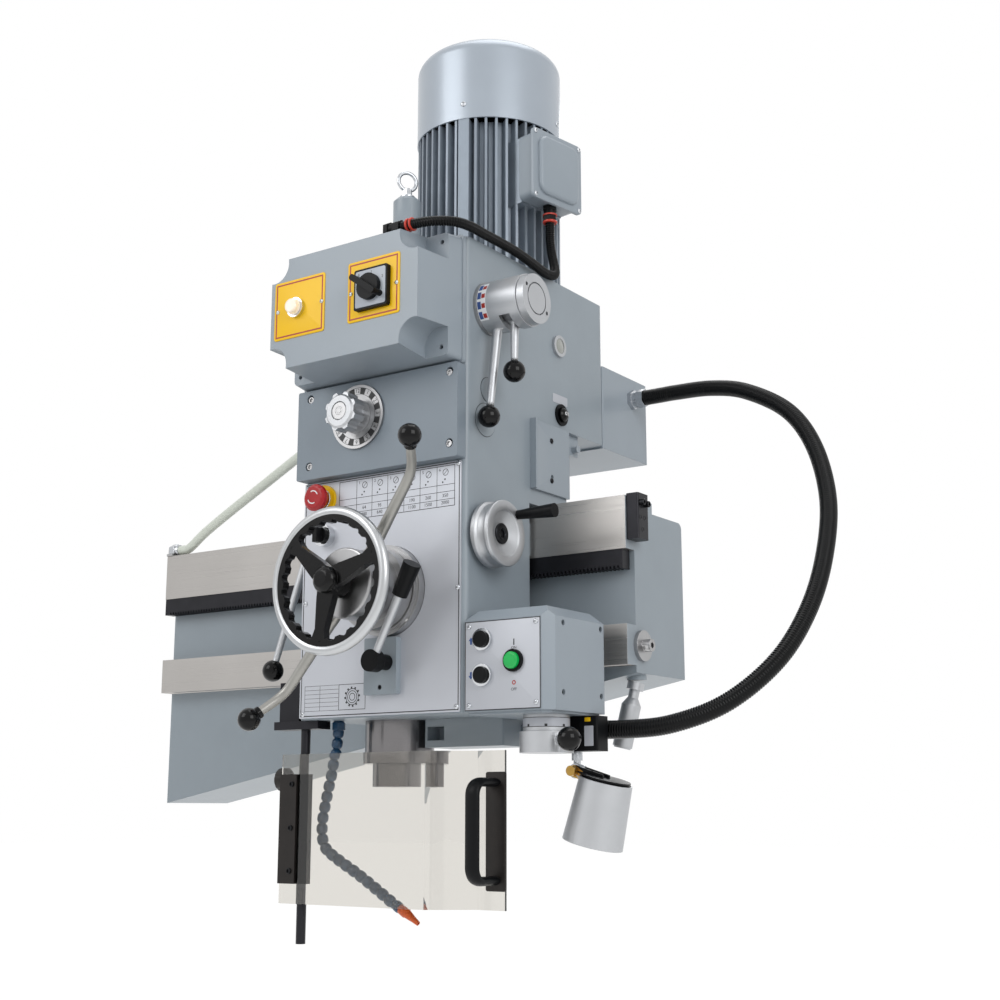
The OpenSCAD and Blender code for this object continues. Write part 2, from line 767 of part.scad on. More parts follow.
module pilot_lamp() {
    color("#f4efe6") at_head() front_at(pilot_at, control_d - 12) {
        cylinder(d = button_hole_d - 5, h = 26);
        translate([0, 0, 19 + eps]) cylinder(d = 22, h = 10);
    }
}

module scale_rings() {
    color(steel) at_head() {
        at_capstan() difference() {
            union() {
                cylinder(d = ring_d, h = ring_t - 6);
                translate([0, 0, ring_t - 6 - eps]) cylinder(d = ring_d - 8, h = 6);
            }
            translate([0, 0, -1]) cylinder(d = feed_shaft_d + 3, h = ring_t + 2);
        }
        front_at(dial_at, panel_t) difference() {
            cylinder(d = dial_d, h = 4);
            translate([0, 0, -1]) cylinder(d = 20, h = 6);
        }
        at_shift() ring(shift_d + 2, 30, 5);
    }
}

module clamp_bracket() {
    color(paint) at_head() difference() {
        translate([clamp_at[0] - 41, -12, 30]) front_block(58, 12 - plate_t, 80, 2);
        at_capstan() cylinder(d = ring_d + 1, h = 20);
        front_at(clamp_at, 0) translate([0, 0, -1]) cylinder(d = 13, h = 20);
        translate([clamp_at[0] - 12, -13, 40]) rotate([-90, 0, 0]) cylinder(d = 7, h = 5);
    }
}

// Motor

flange_h = 14;
flange_d = frame_d + 2 * flange_lip;
module fin(a) {
    rotate(a) translate([frame_d / 2 - 3, -fin_t / 2, flange_h - 2])
        cube([motor_d / 2 - frame_d / 2 + 3, fin_t, frame_h - flange_h + 2]);
}
tbox_angle = -10;
module motor_frame() {
    color("#8f969d") at_head() at_motor() difference() {
        union() {
            cylinder(d = flange_d, h = flange_h);
            translate([0, 0, flange_h / 2]) cylinder(d = frame_d, h = frame_h - flange_h / 2);
            for (k = [0 : fin_count - 1]) fin(k * 360 / fin_count);
            rotate(-75) translate([frame_d / 2 - 3, -9, flange_h - 2])
                cube([motor_d / 2 - frame_d / 2 + 4, 18, frame_h - flange_h + 2]);
            rotate(tbox_angle) translate([frame_d / 2 - 20, -46, tbox_up])
                cube([motor_d / 2 - frame_d / 2 + 22, 92, tbox_h - 2]);
        }
        translate([0, 0, 24]) cylinder(d = rotor_d + 2, h = frame_h - 48);
        translate([0, 0, -1]) cylinder(d = motor_shaft_d + 2 * run_c, h = frame_h + 2);
        for (a = [45 : 90 : 315]) rotate(a) translate([flange_d / 2 - 6, 0, -1])
            cylinder(d = 9, h = flange_h + 2);
    }
}

module cowl_profile(t) {
    r = cowl_d / 2 - t;
    top = cowl_h - t / 2;
    polygon(concat([[0, -1]], [[r, -1], [r, top]],
        [for (a = [10 : 10 : 80]) [r - 46 + 46 * cos(a), top + 30 * sin(a)]],
        [for (x = [r - 46 : -10 : 4]) [x, top + 30 + (dome_h - 30) * (1 - pow(x / (r - 46), 2))]],
        [[0, top + dome_h]]));
}
module motor_cowl() {
    color("#a7adb3") at_head() at_motor() translate([0, 0, frame_h]) difference() {
        rotate_extrude($fn = 96) intersection() {
            cowl_profile(0);
            translate([0, 0]) square([cowl_d, cowl_h + dome_h + 1]);
        }
        translate([0, 0, -0.5]) rotate_extrude($fn = 96) intersection() {
            cowl_profile(cowl_t);
            translate([0, -1]) square([cowl_d, cowl_h + dome_h + 1]);
        }
        for (a = [0 : 30 : 330]) rotate(a) translate([44, -3, cowl_h]) cube([34, 6, dome_h + 2]);
    }
}

tbox_w = 108;
tbox_h = 112;
module terminal_box() {
    color(paint) at_head() at_motor() rotate(tbox_angle)
        translate([motor_d / 2 + 2, -tbox_w / 2, tbox_up]) {
        difference() {
            rotate([90, 0, 90]) linear_extrude(30) round_rect(tbox_w, tbox_h, 10);
            translate([box_t, 6, 6]) cube([24, tbox_w - 12, tbox_h - 12]);
            translate([18, tbox_w / 2, -1]) cylinder(d = 12, h = 10);
        }
        translate([30, 0, 0]) hull() {
            rotate([90, 0, 90]) linear_extrude(4) translate([-3, -3])
                round_rect(tbox_w + 6, tbox_h + 6, 12, $fn = 32);
            rotate([90, 0, 90]) linear_extrude(12) translate([5, 5])
                round_rect(tbox_w - 10, tbox_h - 10, 12, $fn = 32);
        }
    }
}

module motor_rotor() {
    color(steel) at_head() at_motor() {
        translate([0, 0, 34]) cylinder(d = rotor_d, h = frame_h - 68);
        translate([0, 0, low_gear_z - house_top - 8])
            cylinder(d = motor_shaft_d, h = frame_h + 66 + house_top - low_gear_z);
        translate([0, 0, frame_h + 20]) {
            cylinder(d = 60, h = 34);
            cylinder(d = cowl_d - 40, h = 4);
            for (a = [0 : 45 : 315]) rotate(a) translate([28, -2, 0]) cube([cowl_d / 2 - 22 - 28, 4, 30]);
        }
        translate([0, 0, low_gear_z - house_top]) rotate(motor_phase) linear_extrude(gear_w)
            gear_2d(gear_m, motor_z);
    }
}

// Gearbox: each gear is turned so that its tooth meets a gap of its neighbour
to_cluster = atan2(cluster_pos[1] - motor_y, cluster_pos[0] + motor_x);
to_sleeve = atan2(quill_y - cluster_pos[1], -quill_x - cluster_pos[0]);
motor_phase = to_cluster;
big_phase = to_cluster + 180 + 180 / cluster_big_z;
small_phase = to_sleeve;
sleeve_phase = to_sleeve + 180 + 180 / sleeve_z;

module cluster_gear() {
    color(steel) at_head() at_cluster() {
        translate([0, 0, box_z - bearing_t + 1])
            cylinder(d = cluster_shaft_d, h = box_h + 2 * bearing_t - 3);
        translate([0, 0, low_gear_z]) rotate(big_phase) linear_extrude(gear_w)
            gear_2d(gear_m, cluster_big_z);
        translate([0, 0, high_gear_z]) rotate(small_phase) linear_extrude(gear_w)
            gear_2d(gear_m, cluster_small_z);
    }
}

module sleeve_gear() {
    color(steel) at_head() at_quill() difference() {
        union() {
            translate([0, 0, box_z - bearing_t + 1]) cylinder(d = sleeve_d, h = box_h + 2 * bearing_t - 3);
            translate([0, 0, high_gear_z]) rotate(sleeve_phase) linear_extrude(gear_w)
                gear_2d(gear_m, sleeve_z);
        }
        translate([0, 0, box_z - bearing_t]) cylinder(r = spline_d / 2 + run_c, h = box_h + 2 * bearing_t);
    }
}

module gear_bearings() {
    color(steel) at_head() at_quill() for (z = [box_z - bearing_t + 1, box_z + box_h])
        translate([0, 0, z]) ring(sleeve_d + 20, sleeve_d + 2 * run_c, bearing_t - 3);
}

// Quill and spindle

rack_low = capstan_z + quill_out - feed_r - 2 * feed_m;
module quill() {
    color(steel) at_head() at_quill() translate([0, 0, -quill_out]) difference() {
        cylinder(d = quill_d, h = quill_len);
        translate([0, 0, -1]) cylinder(d = spindle_d + 12, h = quill_len + 2);
        for (z = [-1, quill_len - bearing_h]) translate([0, 0, z])
            cylinder(d = bearing_d, h = bearing_h + 1);
        translate([quill_pitch + feed_m * 0.9, -feed_w, rack_low])
            cube([rack_depth, 2 * feed_w, quill_len]);
        translate([quill_pitch, 0, capstan_z + quill_out]) rotate([90, -90, 0])
            linear_extrude(2 * feed_w, center = true)
            rack_gaps(feed_m, -2, floor((quill_travel + feed_r) / (PI * feed_m)));
    }
}

bearing_d = 78;
bearing_h = 40;
module spindle_bearings() {
    color(steel) at_head() at_quill() for (z = [0, quill_len - bearing_h])
        translate([0, 0, z - quill_out]) ring(bearing_d - 2 * run_c, spindle_d + 2 * run_c, bearing_h);
}

spindle_top = house_top + cap_h - 60;
module spindle() {
    color(steel) at_head() at_quill() difference() {
        union() {
            translate([0, 0, -quill_out - nose_len]) cylinder(d = nose_d, h = nose_len - 0.3);
            translate([0, 0, -quill_out - nose_len]) cylinder(d = spindle_d, h = quill_len + nose_len + 4);
            translate([0, 0, quill_len - quill_out])
                cylinder(d = spline_d, h = spindle_top - quill_len + quill_out);
        }
        translate([0, 0, -quill_out - nose_len - eps])
            cylinder(d1 = taper_d, d2 = taper_d - taper_len / 20, h = taper_len);
        translate([0, 0, -quill_out - nose_len + taper_len - 18])
            cube([taper_d - 2, 12, 36], center = true);
    }
}

// Capstan and traverse wheel

module capstan_hub() {
    color(steel) at_head() at_capstan() {
        difference() {
            union() {
                translate([0, 0, ring_t + 1]) cylinder(d = ring_d - 14, h = 20);
                translate([0, 0, ring_t + 21 - eps]) cylinder(d = hub_d, h = hub_out - ring_t - 24);
                translate([0, 0, hub_out - 3 - 2 * eps]) cylinder(d1 = hub_d, d2 = hub_d - 6, h = 3);
                translate([0, 0, -quill_y - feed_w / 2])
                    cylinder(d = feed_shaft_d, h = quill_y + feed_w / 2 + ring_t + 2);
                translate([0, 0, -quill_y - feed_w / 2]) rotate(180) linear_extrude(feed_w)
                    gear_2d(feed_m, feed_z);
            }
            translate([0, 0, -quill_y - feed_w])
                cylinder(d = trav_shaft_d + 2 * run_c, h = quill_y + feed_w + hub_out + 1);
            for (a = [lever_a, lever_b]) rotate(90 - a) translate([0, 0, hub_out - 23]) rotate([0, 90, 0])
                translate([0, 0, hub_d / 2 - 26]) cylinder(d = lever_d, h = 60);
        }
    }
}

// A lever's bend and ball, in the capstan's frame, for its angle
function lever_dir(a) = [sin(a), cos(a), 0];
bend_out = hub_out - 13;
ball_out = hub_out + 29;
module capstan_levers() {
    for (a = [lever_a, lever_b]) at_head() at_capstan() {
        start = lever_dir(a) * (hub_d / 2 - 24) + [0, 0, hub_out - 23];
        elbow = lever_dir(a) * (hub_d / 2 + 6) + [0, 0, hub_out - 23];
        bend = lever_dir(a) * lever_bend + [0, 0, bend_out];
        tip = lever_dir(a) * lever_reach + [0, 0, ball_out];
        color(steel) {
            rod(start, elbow, lever_d, lever_d);
            translate(elbow) sphere(d = lever_d + 2);
            rod(elbow, bend, lever_d - 1, lever_d - 4);
            translate(bend) sphere(d = lever_d - 3);
            rod(bend, tip, lever_d - 4, lever_d - 6);
        }
        color(black) translate(tip) ball();
    }
}

rim_r = (wheel_d - rim_t) / 2;
module handwheel_rim() {
    color(aluminium_c) at_head() at_capstan() translate([0, 0, wheel_out]) difference() {
        rotate_extrude($fn = 128) translate([rim_r, 0]) circle(d = rim_t, $fn = 32);
        translate([0, 0, -rim_t / 2]) cylinder(r = rim_r - rim_t * 0.28, h = rim_t);
    }
}

spoke_angles = [20, 140, 260];
module spider_outline() {
    inner = rim_r - rim_t;
    difference() {
        circle(r = rim_r - rim_t * 0.28 - run_c, $fn = 96);
        circle(r = inner, $fn = 96);
        for (k = [0 : 23]) rotate(k * 15 + 7.5) translate([inner - 3, 0]) circle(d = 14, $fn = 24);
    }
    for (a = spoke_angles) rotate(a) polygon([[0, -14], [24, -14], [inner - 12, -8], [inner + 3, -12],
        [inner + 3, 12], [inner - 12, 8], [24, 14], [0, 14]]);
}
module handwheel_spider() {
    color(black) at_head() at_capstan() translate([0, 0, wheel_out]) difference() {
        union() {
            translate([0, 0, -rim_t * 0.4]) linear_extrude(rim_t * 0.8) spider_outline();
            translate([0, 0, -20]) cylinder(d1 = 44, d2 = 36, h = 34);
            translate([0, 0, 14]) cylinder(d1 = 36, d2 = 20, h = 7);
        }
        translate([0, 0, -21]) cylinder(d = trav_shaft_d, h = 28);
    }
}

module traverse_shaft() {
    reach = way_front + web_recess - 5;
    color(steel) at_head() at_capstan() {
        translate([0, 0, -reach]) cylinder(d = trav_shaft_d, h = reach + wheel_out + 6);
        translate([0, 0, -reach]) rotate(90) linear_extrude(rack_w - 3) gear_2d(rack_m, rack_pinion_z);
        translate([0, 0, hub_out + 0.5]) cylinder(d = 30, h = wheel_out - 20 - hub_out - 0.5);
    }
}

// Levers

clamp_len = 128;
clamp_angle = 32.6;
module clamp_lever() {
    at_head() front_at(clamp_at, 0) {
        color(black) {
            translate([0, 0, 12.6]) cylinder(d = 22, h = 22);
            translate([0, 0, 34 - eps]) cylinder(d = 31, h = 16);
        }
        color(steel) {
            translate([0, 0, -20]) cylinder(d = 12, h = 40);
            rod([0, 0, 42], lever_dir(clamp_angle) * (clamp_len - 20) + [0, 0, 56], 10, 14, 70);
        }
        color(black) rod(lever_dir(clamp_angle) * (clamp_len - 26) + [0, 0, 54],
            lever_dir(clamp_angle) * (clamp_len + 22) + [0, 0, 60], 22, 26);
    }
}

side_lever_at = [-head_w, 30, 262];
module side_lever() {
    at_head() translate(side_lever_at) {
        color(steel) {
            rotate([0, 90, 0]) translate([0, 0, -26]) cylinder(d = 12, h = 48);
            translate([-12, 0, 0]) rotate([0, 90, 0]) translate([0, 0, -14]) cylinder(d = 26, h = 24);
            rod([-14, 0, 0], [-60, -20, -178], 13, 10);
        }
        color(black) translate([-62, -21, -186]) ball();
    }
}

slot_half = 30;
long_lean = -9;
short_lean = -4;
module gear_lever_long() {
    color(aluminium_c) at_head() at_shift() difference() {
        union() {
            translate([0, 0, 5.3]) cylinder(d = shift_d, h = shift_len - 5.3);
            translate([0, 0, -38]) cylinder(d = 24, h = 44);
        }
        translate([0, 0, 34]) cylinder(d = shift_d - 16, h = shift_len);
        translate([0, 0, -39]) cylinder(d = 14 + 2 * run_c, h = shift_len + 40);
        rotate(short_lean) translate([0, 0, 38]) linear_extrude(18) polygon([[0, 0],
            for (a = [-1 : 1]) 2 * shift_d * [cos(a * (slot_half + 16)), sin(a * (slot_half + 16))]]);
    }
    at_head() at_shift() {
        rotate(long_lean) {
            color(aluminium_c) rod([shift_d / 2 - 4, 0, 20], [shift_reach_long, 0, 20], 14, 11);
            color(black) translate([shift_reach_long, 0, 20]) ball();
        }
    }
}

module gear_lever_short() {
    at_head() at_shift() {
        color(aluminium_c) difference() {
            union() {
                translate([0, 0, -38]) cylinder(d = 14, h = 74);
                translate([0, 0, 34.3]) cylinder(d = shift_d - 17, h = shift_len - 34.3);
                translate([0, 0, shift_len + 0.3]) cylinder(d = shift_d - 4, h = 12);
                translate([0, 0, shift_len - 1]) cylinder(d = shift_d - 17, h = 6);
            }
            translate([0, 0, shift_len + 8]) ring(48, 44, 5);
            for (a = [60, 240]) rotate(a) translate([30, 0, shift_len + 5]) cylinder(d = 6, h = 8);
        }
        rotate(short_lean) {
            color(aluminium_c) rod([20, 0, 47], [shift_reach_short, 0, 50], 13, 10);
            color(black) translate([shift_reach_short, 0, 50]) ball();
        }
    }
}

module fine_wheel() {
    color(aluminium_c) at_head() at_fine() difference() {
        union() {
            translate([0, 0, -36]) cylinder(d = 16, h = 40);
            translate([0, 0, 3]) cylinder(d = 34, h = fine_t);
            translate([0, 0, 6]) rotate_extrude($fn = 96) difference() {
                translate([0, 0]) square([fine_d / 2, fine_t]);
                translate([20, 8]) polygon([[0, 0], [fine_d / 2 - 33, 0], [fine_d / 2 - 31, fine_t],
                    [0, fine_t]]);
            }
        }
        translate([0, 0, fine_t - 4]) cylinder(d = 12, h = 20, $fn = 6);
        rotate(grip_angle) translate([fine_grip_r, 0, fine_t - 12]) cylinder(d = 7 + 2 * run_c, h = 50);
    }
}

fine_grip_r = fine_d / 2 - 5.5;
grip_angle = 137;
module fine_wheel_grip() {
    at_head() at_fine() rotate(grip_angle) translate([fine_grip_r, 0, 0]) {
        color(steel) translate([0, 0, fine_t - 10]) cylinder(d = 7, h = 24);
        color(black) translate([0, 0, fine_t + 6.3]) cylinder(d1 = 13, d2 = 20, h = 62);
    }
}

// Buttons

module estop_button() {
    color("#c4202c") at_head() front_at(estop_at, plate_t) {
        translate([0, 0, -20]) cylinder(d = button_hole_d + 1 - 2 * knob_c, h = 38);
        translate([0, 0, 5 + button_travel + 3]) cylinder(d1 = 34, d2 = 40, h = 6);
        translate([0, 0, 5 + button_travel + 9 - eps]) cylinder(d = 40, h = 6);
        translate([0, 0, 5 + button_travel + 15 - 2 * eps]) cylinder(d1 = 40, d2 = 30, h = 4);
    }
}

module selector_knob() {
    color(black) at_head() front_at(selector_at, plate_t) {
        translate([0, 0, -20]) cylinder(d = button_hole_d + 1 - 2 * knob_c, h = 36);
        translate([-4, -12, 16 - eps]) cube([8, 24, 12]);
    }
}

module switch_knob() {
    color(black) at_head() front_at(switch_at, control_d) {
        translate([0, 0, -10]) cylinder(d = 12, h = 24);
        translate([0, 0, 9 + knob_c]) cylinder(d = 38, h = 8);
        translate([0, 0, 9 + knob_c]) rotate(-35) hull() for (x = [-22, 22])
            translate([x, 0, 0]) cylinder(d = 9, h = 20, $fn = 24);
    }
}

module lobes(d, n, dip) difference() {
    circle(d = d);
    for (k = [0 : n - 1]) rotate(k * 360 / n) translate([d / 2 + dip, 0]) circle(d = d / 3);
}

module dial_knob() {
    color(aluminium_c) at_head() front_at(dial_at, panel_t) difference() {
        union() {
            translate([0, 0, -26]) cylinder(d = 18, h = 40);
            translate([0, 0, 4 + knob_c]) cylinder(d = dial_knob_d - 8, h = 16);
            translate([0, 0, 20]) linear_extrude(dial_knob_len - 24) lobes(dial_knob_d, 8, 5);
            translate([0, 0, dial_knob_len - 4 - eps])
                cylinder(d1 = dial_knob_d - 7, d2 = dial_knob_d - 13, h = 3);
        }
        translate([0, 0, dial_knob_len - 3]) cylinder(d = 28, h = 6);
    }
}

module dome_button() {
    color(black) at_head() translate(dome_at) rotate([0, 90, 0]) {
        translate([0, 0, -14]) cylinder(d = 24 - 2 * knob_c, h = 21);
        intersection() {
            translate([0, 0, -2]) sphere(d = 28);
            translate([-20, -20, 7 - eps]) cube([40, 40, 8]);
        }
    }
}

// Button box and what it carries

bbox_z = 0;
bbox_front = 2;
up_at = [32, 97];
down_at = [32, 49];
light_at = [82, 66];

module button_box() {
    c = bbox_c;
    color(paint) at_head() translate([0, -bbox_front, bbox_z]) difference() {
        intersection() {
            cube([bbox_w, bbox_d, bbox_h]);
            linear_extrude(bbox_h) polygon([[0, 0], [bbox_w - c, 0], [bbox_w, c], [bbox_w, bbox_d],
                [0, bbox_d]]);
            translate([0, bbox_d, 0]) rotate([90, 0, 0]) linear_extrude(bbox_d)
                polygon([[0, 0], [bbox_w, 0], [bbox_w, bbox_h - c], [bbox_w - c, bbox_h], [c, bbox_h],
                    [0, bbox_h - c]]);
            rotate([90, 0, 90]) linear_extrude(bbox_w)
                polygon([[0, 0], [bbox_d, 0], [bbox_d, bbox_h - c], [bbox_d - c, bbox_h], [c, bbox_h],
                    [0, bbox_h - c]]);
        }
        translate([0, 0, -1]) linear_extrude(bbox_h - c - box_t + 1) bbox_plan(0);
        for (b = [up_at, down_at, light_at]) translate([b[0], -1, b[1]]) rotate([-90, 0, 0])
            cylinder(d = button_hole_d + 1, h = box_t + 3);
        for (y = [33, bbox_d - 8], z = [24, bbox_h - 22]) translate([bbox_w - 7, y, z])
            rotate([0, 90, 0]) cylinder(d = 8, h = 8);
    }
    color(paint) at_head() translate([0, -bbox_front, bbox_z - 3]) linear_extrude(6) bbox_plan(0.2);
}

// The box's inside from above, drawn in by a gap
module bbox_plan(g) {
    low = box_t + g;
    right = bbox_w - box_t - 2 - g;
    cut = bbox_c + 0.4 * (box_t + g);
    polygon([[low, low], [bbox_w - cut, low], [right, cut - 2], [right, bbox_d - low],
        [low, bbox_d - low]]);
}

module push_button(p, hue) {
    color(hue) at_head() translate([p[0], -bbox_front, p[1]]) rotate([90, 0, 0]) {
        translate([0, 0, -16]) cylinder(d = button_hole_d + 1 - 2 * knob_c, h = 22 + button_travel);
        translate([0, 0, 6 + button_travel - eps])
            cylinder(d1 = button_hole_d + 1 - 2 * knob_c, d2 = 17, h = 2);
    }
}
module up_button() push_button(up_at, black);
module down_button() push_button(down_at, black);
module light_button() push_button(light_at, "#1f9d49");

direction_at = [92, 60];
module direction_base() {
    color(steel) at_head() translate([direction_at[0], direction_at[1], bbox_z - 3]) mirror([0, 0, 1])
        ring(63, 20, 22);
}
module direction_knob() {
    reach = [cos(-30), sin(-30), 0];
    at_head() translate([direction_at[0], direction_at[1], bbox_z - 25.3]) {
        color(aluminium_c) {
            translate([0, 0, -28]) cylinder(d = 73, h = 28);
            translate([0, 0, -1]) cylinder(d = 19, h = 22);
            translate([0, 0, -12]) rod([0, 0, 0], reach * 58, 16, 12);
        }
        color(black) translate(reach * 64 + [0, 0, -12]) ball();
    }
}

// Lamp: bracket, swivel arm and head

lamp_at = [104, 118];
lamp_offset = 46;
module lamp_bracket() {
    color(black) at_head() difference() {
        translate([lamp_at[0] - 10, lamp_at[1] - 16, bbox_z - 50]) round_block(52, 30, 47, 3);
        translate([lamp_at[0], lamp_at[1], bbox_z - 51]) cylinder(d = 10 + 2 * run_c, h = 22);
    }
}
lamp_hinge_z = -76;
module lamp_arm() {
    color(steel) at_head() translate([lamp_at[0], lamp_at[1], lamp_hinge_z]) {
        translate([0, 0, 8]) cylinder(d = 10, h = 66 - 26 - 6);
        translate([0, 0, 14]) cylinder(d = 15, h = 11);
        rotate([90, 0, 0]) translate([0, 0, -6]) difference() {
            cylinder(d = 20, h = 12);
            translate([0, 0, -1]) cylinder(d = 7, h = 14);
        }
    }
}
module lamp_head() {
    at_head() translate([lamp_at[0], lamp_at[1], lamp_hinge_z]) {
        color("#c9a227") rotate([90, 0, 0]) {
            translate([0, 0, -16]) cylinder(d = 7 - 2 * run_c, h = 34);
            translate([0, 0, 10.3]) cylinder(d = 14, h = 8);
            translate([0, 0, -16]) cylinder(d = 16, h = 6);
        }
        color(black) for (y = [-9.6, 6.6]) translate([0, y, 0]) hull() {
            rotate([-90, 0, 0]) cylinder(d = 16, h = 3, $fn = 32);
            translate([16, 0, -14]) cube([lamp_offset - 16, 3, 8]);
        }
        translate([lamp_offset, 0, -10]) rotate([0, lamp_tilt, 0]) mirror([0, 0, 1]) {
            color(black) for (k = [0 : 3]) translate([0, 0, k * 4]) cylinder(d = lamp_d - 16, h = 2.4);
            color(black) cylinder(d = lamp_d - 30, h = 18);
            color(aluminium_c) translate([0, 0, 4]) difference() {
                cylinder(d1 = lamp_d - 10, d2 = lamp_d, h = lamp_len);
                translate([0, 0, -1]) cylinder(d1 = lamp_d - 14, d2 = lamp_d - 14, h = 13);
                translate([0, 0, 30]) cylinder(d1 = lamp_d - 40, d2 = lamp_d - 6, h = lamp_len - 30 + eps);
            }
        }
    }
}

// Guard

rod_at = [-head_w - 9, 27];
bar_z = -12;
module guard_bracket() {
    color(black) at_head() {
        difference() {
            union() {
                translate([rod_at[0] - 47, 20, bar_z + 12 - eps]) cube([47 - 8, 5, 58]);
                translate([-head_w - 5, 36, bar_z + 12]) cube([5, 30, 58]);
                translate([rod_at[0] - 47, 36, bar_z + 12]) cube([52, 4, 58]);
                translate([rod_at[0] - 52, 14, bar_z]) cube([86, 28, 12]);
            }
            translate([rod_at[0], rod_at[1], bar_z - 1]) cylinder(r = rod_d / 2 + run_c, h = 14);
            translate([rod_at[0] - 8.4, 19, bar_z + 12]) cube([18, 17, 60]);
        }
    }
}

module guard_rod() {
    color(black) at_head() translate([rod_at[0], rod_at[1], 62 - rod_len])
        cylinder(d = rod_d, h = rod_len);
}

sheet_z = -260;
hinge_h = 155;
sheet_y = 13;
panel_1 = 264;
panel_2 = 72;
panel_3 = 46;
turn_2 = 36;
turn_3 = 0;
function along(a, d) = [cos(a) * d, sin(a) * d];
sheet_left = [rod_at[0] - 32, sheet_y];
sheet_b1 = sheet_left + [panel_1, 0];
sheet_b2 = sheet_b1 + along(turn_2, panel_2);
sheet_b3 = sheet_b2 + along(turn_3, panel_3);
// The sheet's far side at a bend between two directions
function mitre(p, a, b) = p + sheet_t / cos((a - b) / 2) * [-sin((a + b) / 2), cos((a + b) / 2)];
module guard_shield() {
    color([0.85, 0.9, 0.92, 0.4]) at_head() translate([0, 0, sheet_z]) linear_extrude(sheet_h)
        polygon([sheet_left, sheet_b1, sheet_b2, sheet_b3, mitre(sheet_b3, turn_3, turn_3),
            mitre(sheet_b2, turn_2, turn_3), mitre(sheet_b1, 0, turn_2), mitre(sheet_left, 0, 0)]);
}
module guard_hinge() {
    color(black) at_head() {
        translate([sheet_left[0], sheet_y - 4, sheet_z + 28]) cube([32, 4, hinge_h]);
        translate([rod_at[0], rod_at[1], sheet_z + 28]) difference() {
            union() {
                cylinder(d = rod_d + 6, h = hinge_h);
                translate([-18, sheet_y + sheet_t - rod_at[1], 0]) cube([36, 9, hinge_h]);
            }
            translate([0, 0, -1]) cylinder(r = rod_d / 2 + run_c, h = hinge_h + 2);
        }
        translate([rod_at[0] - 11, rod_at[1], sheet_z + 176]) rotate([0, -90, 0]) {
            cylinder(d = 8, h = 32);
            translate([0, 0, 22]) linear_extrude(12) lobes(34, 5, 5);
        }
        guard_handle();
    }
}
module guard_handle() {
    mid = (sheet_b2 + sheet_b3) / 2;
    translate([mid[0] + 8, mid[1], sheet_z]) rotate(turn_3) {
        translate([-14, -4, 25]) cube([32, 4, 158]);
        for (z = [44, 164]) translate([0, -4 + eps, z]) rotate([90, 0, 0]) cylinder(d = 14, h = 46);
        translate([0, -50, 44]) cylinder(d = 21, h = 120);
        for (z = [44, 164]) translate([0, -50, z]) sphere(d = 22);
    }
}

// Coolant nozzle: fitting, segmented hose and tip, from points chosen by hand
nozzle_route = [[-262, 46, 0], [-264, 46, -30], [-270, 46, -70], [-280, 46, -110], [-286, 44, -150],
    [-278, 42, -180], [-250, 40, -198], [-215, 40, -216], [-180, 40, -236], [-150, 40, -254],
        [-132, 40, -264]];
nozzle_d = 17;
module coolant_nozzle() {
    n = len(nozzle_route);
    color("#1d4f7c") at_head() {
        translate([nozzle_route[0][0], nozzle_route[0][1], -14]) cylinder(d = 20, h = 14);
        for (i = [1 : n - 2]) rod(nozzle_route[i], nozzle_route[i + 1], nozzle_d, nozzle_d - 5);
        rod(nozzle_route[0] + [0, 0, -12], nozzle_route[1] + [0, 0, 0], nozzle_d, nozzle_d - 4);
        for (i = [1 : n - 2]) translate(nozzle_route[i]) sphere(d = nozzle_d - 1);
    }
    color("#d9601a") at_head() rod(nozzle_route[n - 1], [-104, 40, -282], 15, 6);
}

// Hoses: tubes swept along points chosen by hand, in the head's frame
foot_gland_y = 148;
hose_route = [[26, 474, 546], [54, 474, 546], [84, 474, 546], [150, 468, 541], [220, 450, 520],
    [300, 424, 470],
    [352, 396, 400], [384, 360, 310], [392, 316, 220], [384, 270, 140], [356, 226, 70], [300, 186, 14],
    [230, 160, -14], [160, 150, -20], [84, 148, -18], [54, 148, -18], [27, 148, -18]];
conduit_route = [[-64, -70, 687], [-49, -70, 687], [-42, -70, 687], [-18, -62, 688], [4, -40, 690],
    [12, -10, 691],
    [12, 30, 691], [12, 70, 691], [12, 110, 690], [13, 150, 685], [12, 190, 681], [8, 220, 688],
        [-2, 238, 706],
    [-11, 244, 734], [-14, 244, 757], [-14, 244, 773], [-14, 244, 788]];
coolant_route = [[-head_w - 12, 91, 450], [-328, 91, 450], [-338, 91, 450], [-380, 98, 440],
    [-440, 112, 422],
    [-510, 128, 400], [-597, 148, 373], [-680, 168, 346], [-722, 179, 329], [-738, 182, 323],
        [-746, 182, 323],
    [-762, 182, 323]];
coolant_d = 16;

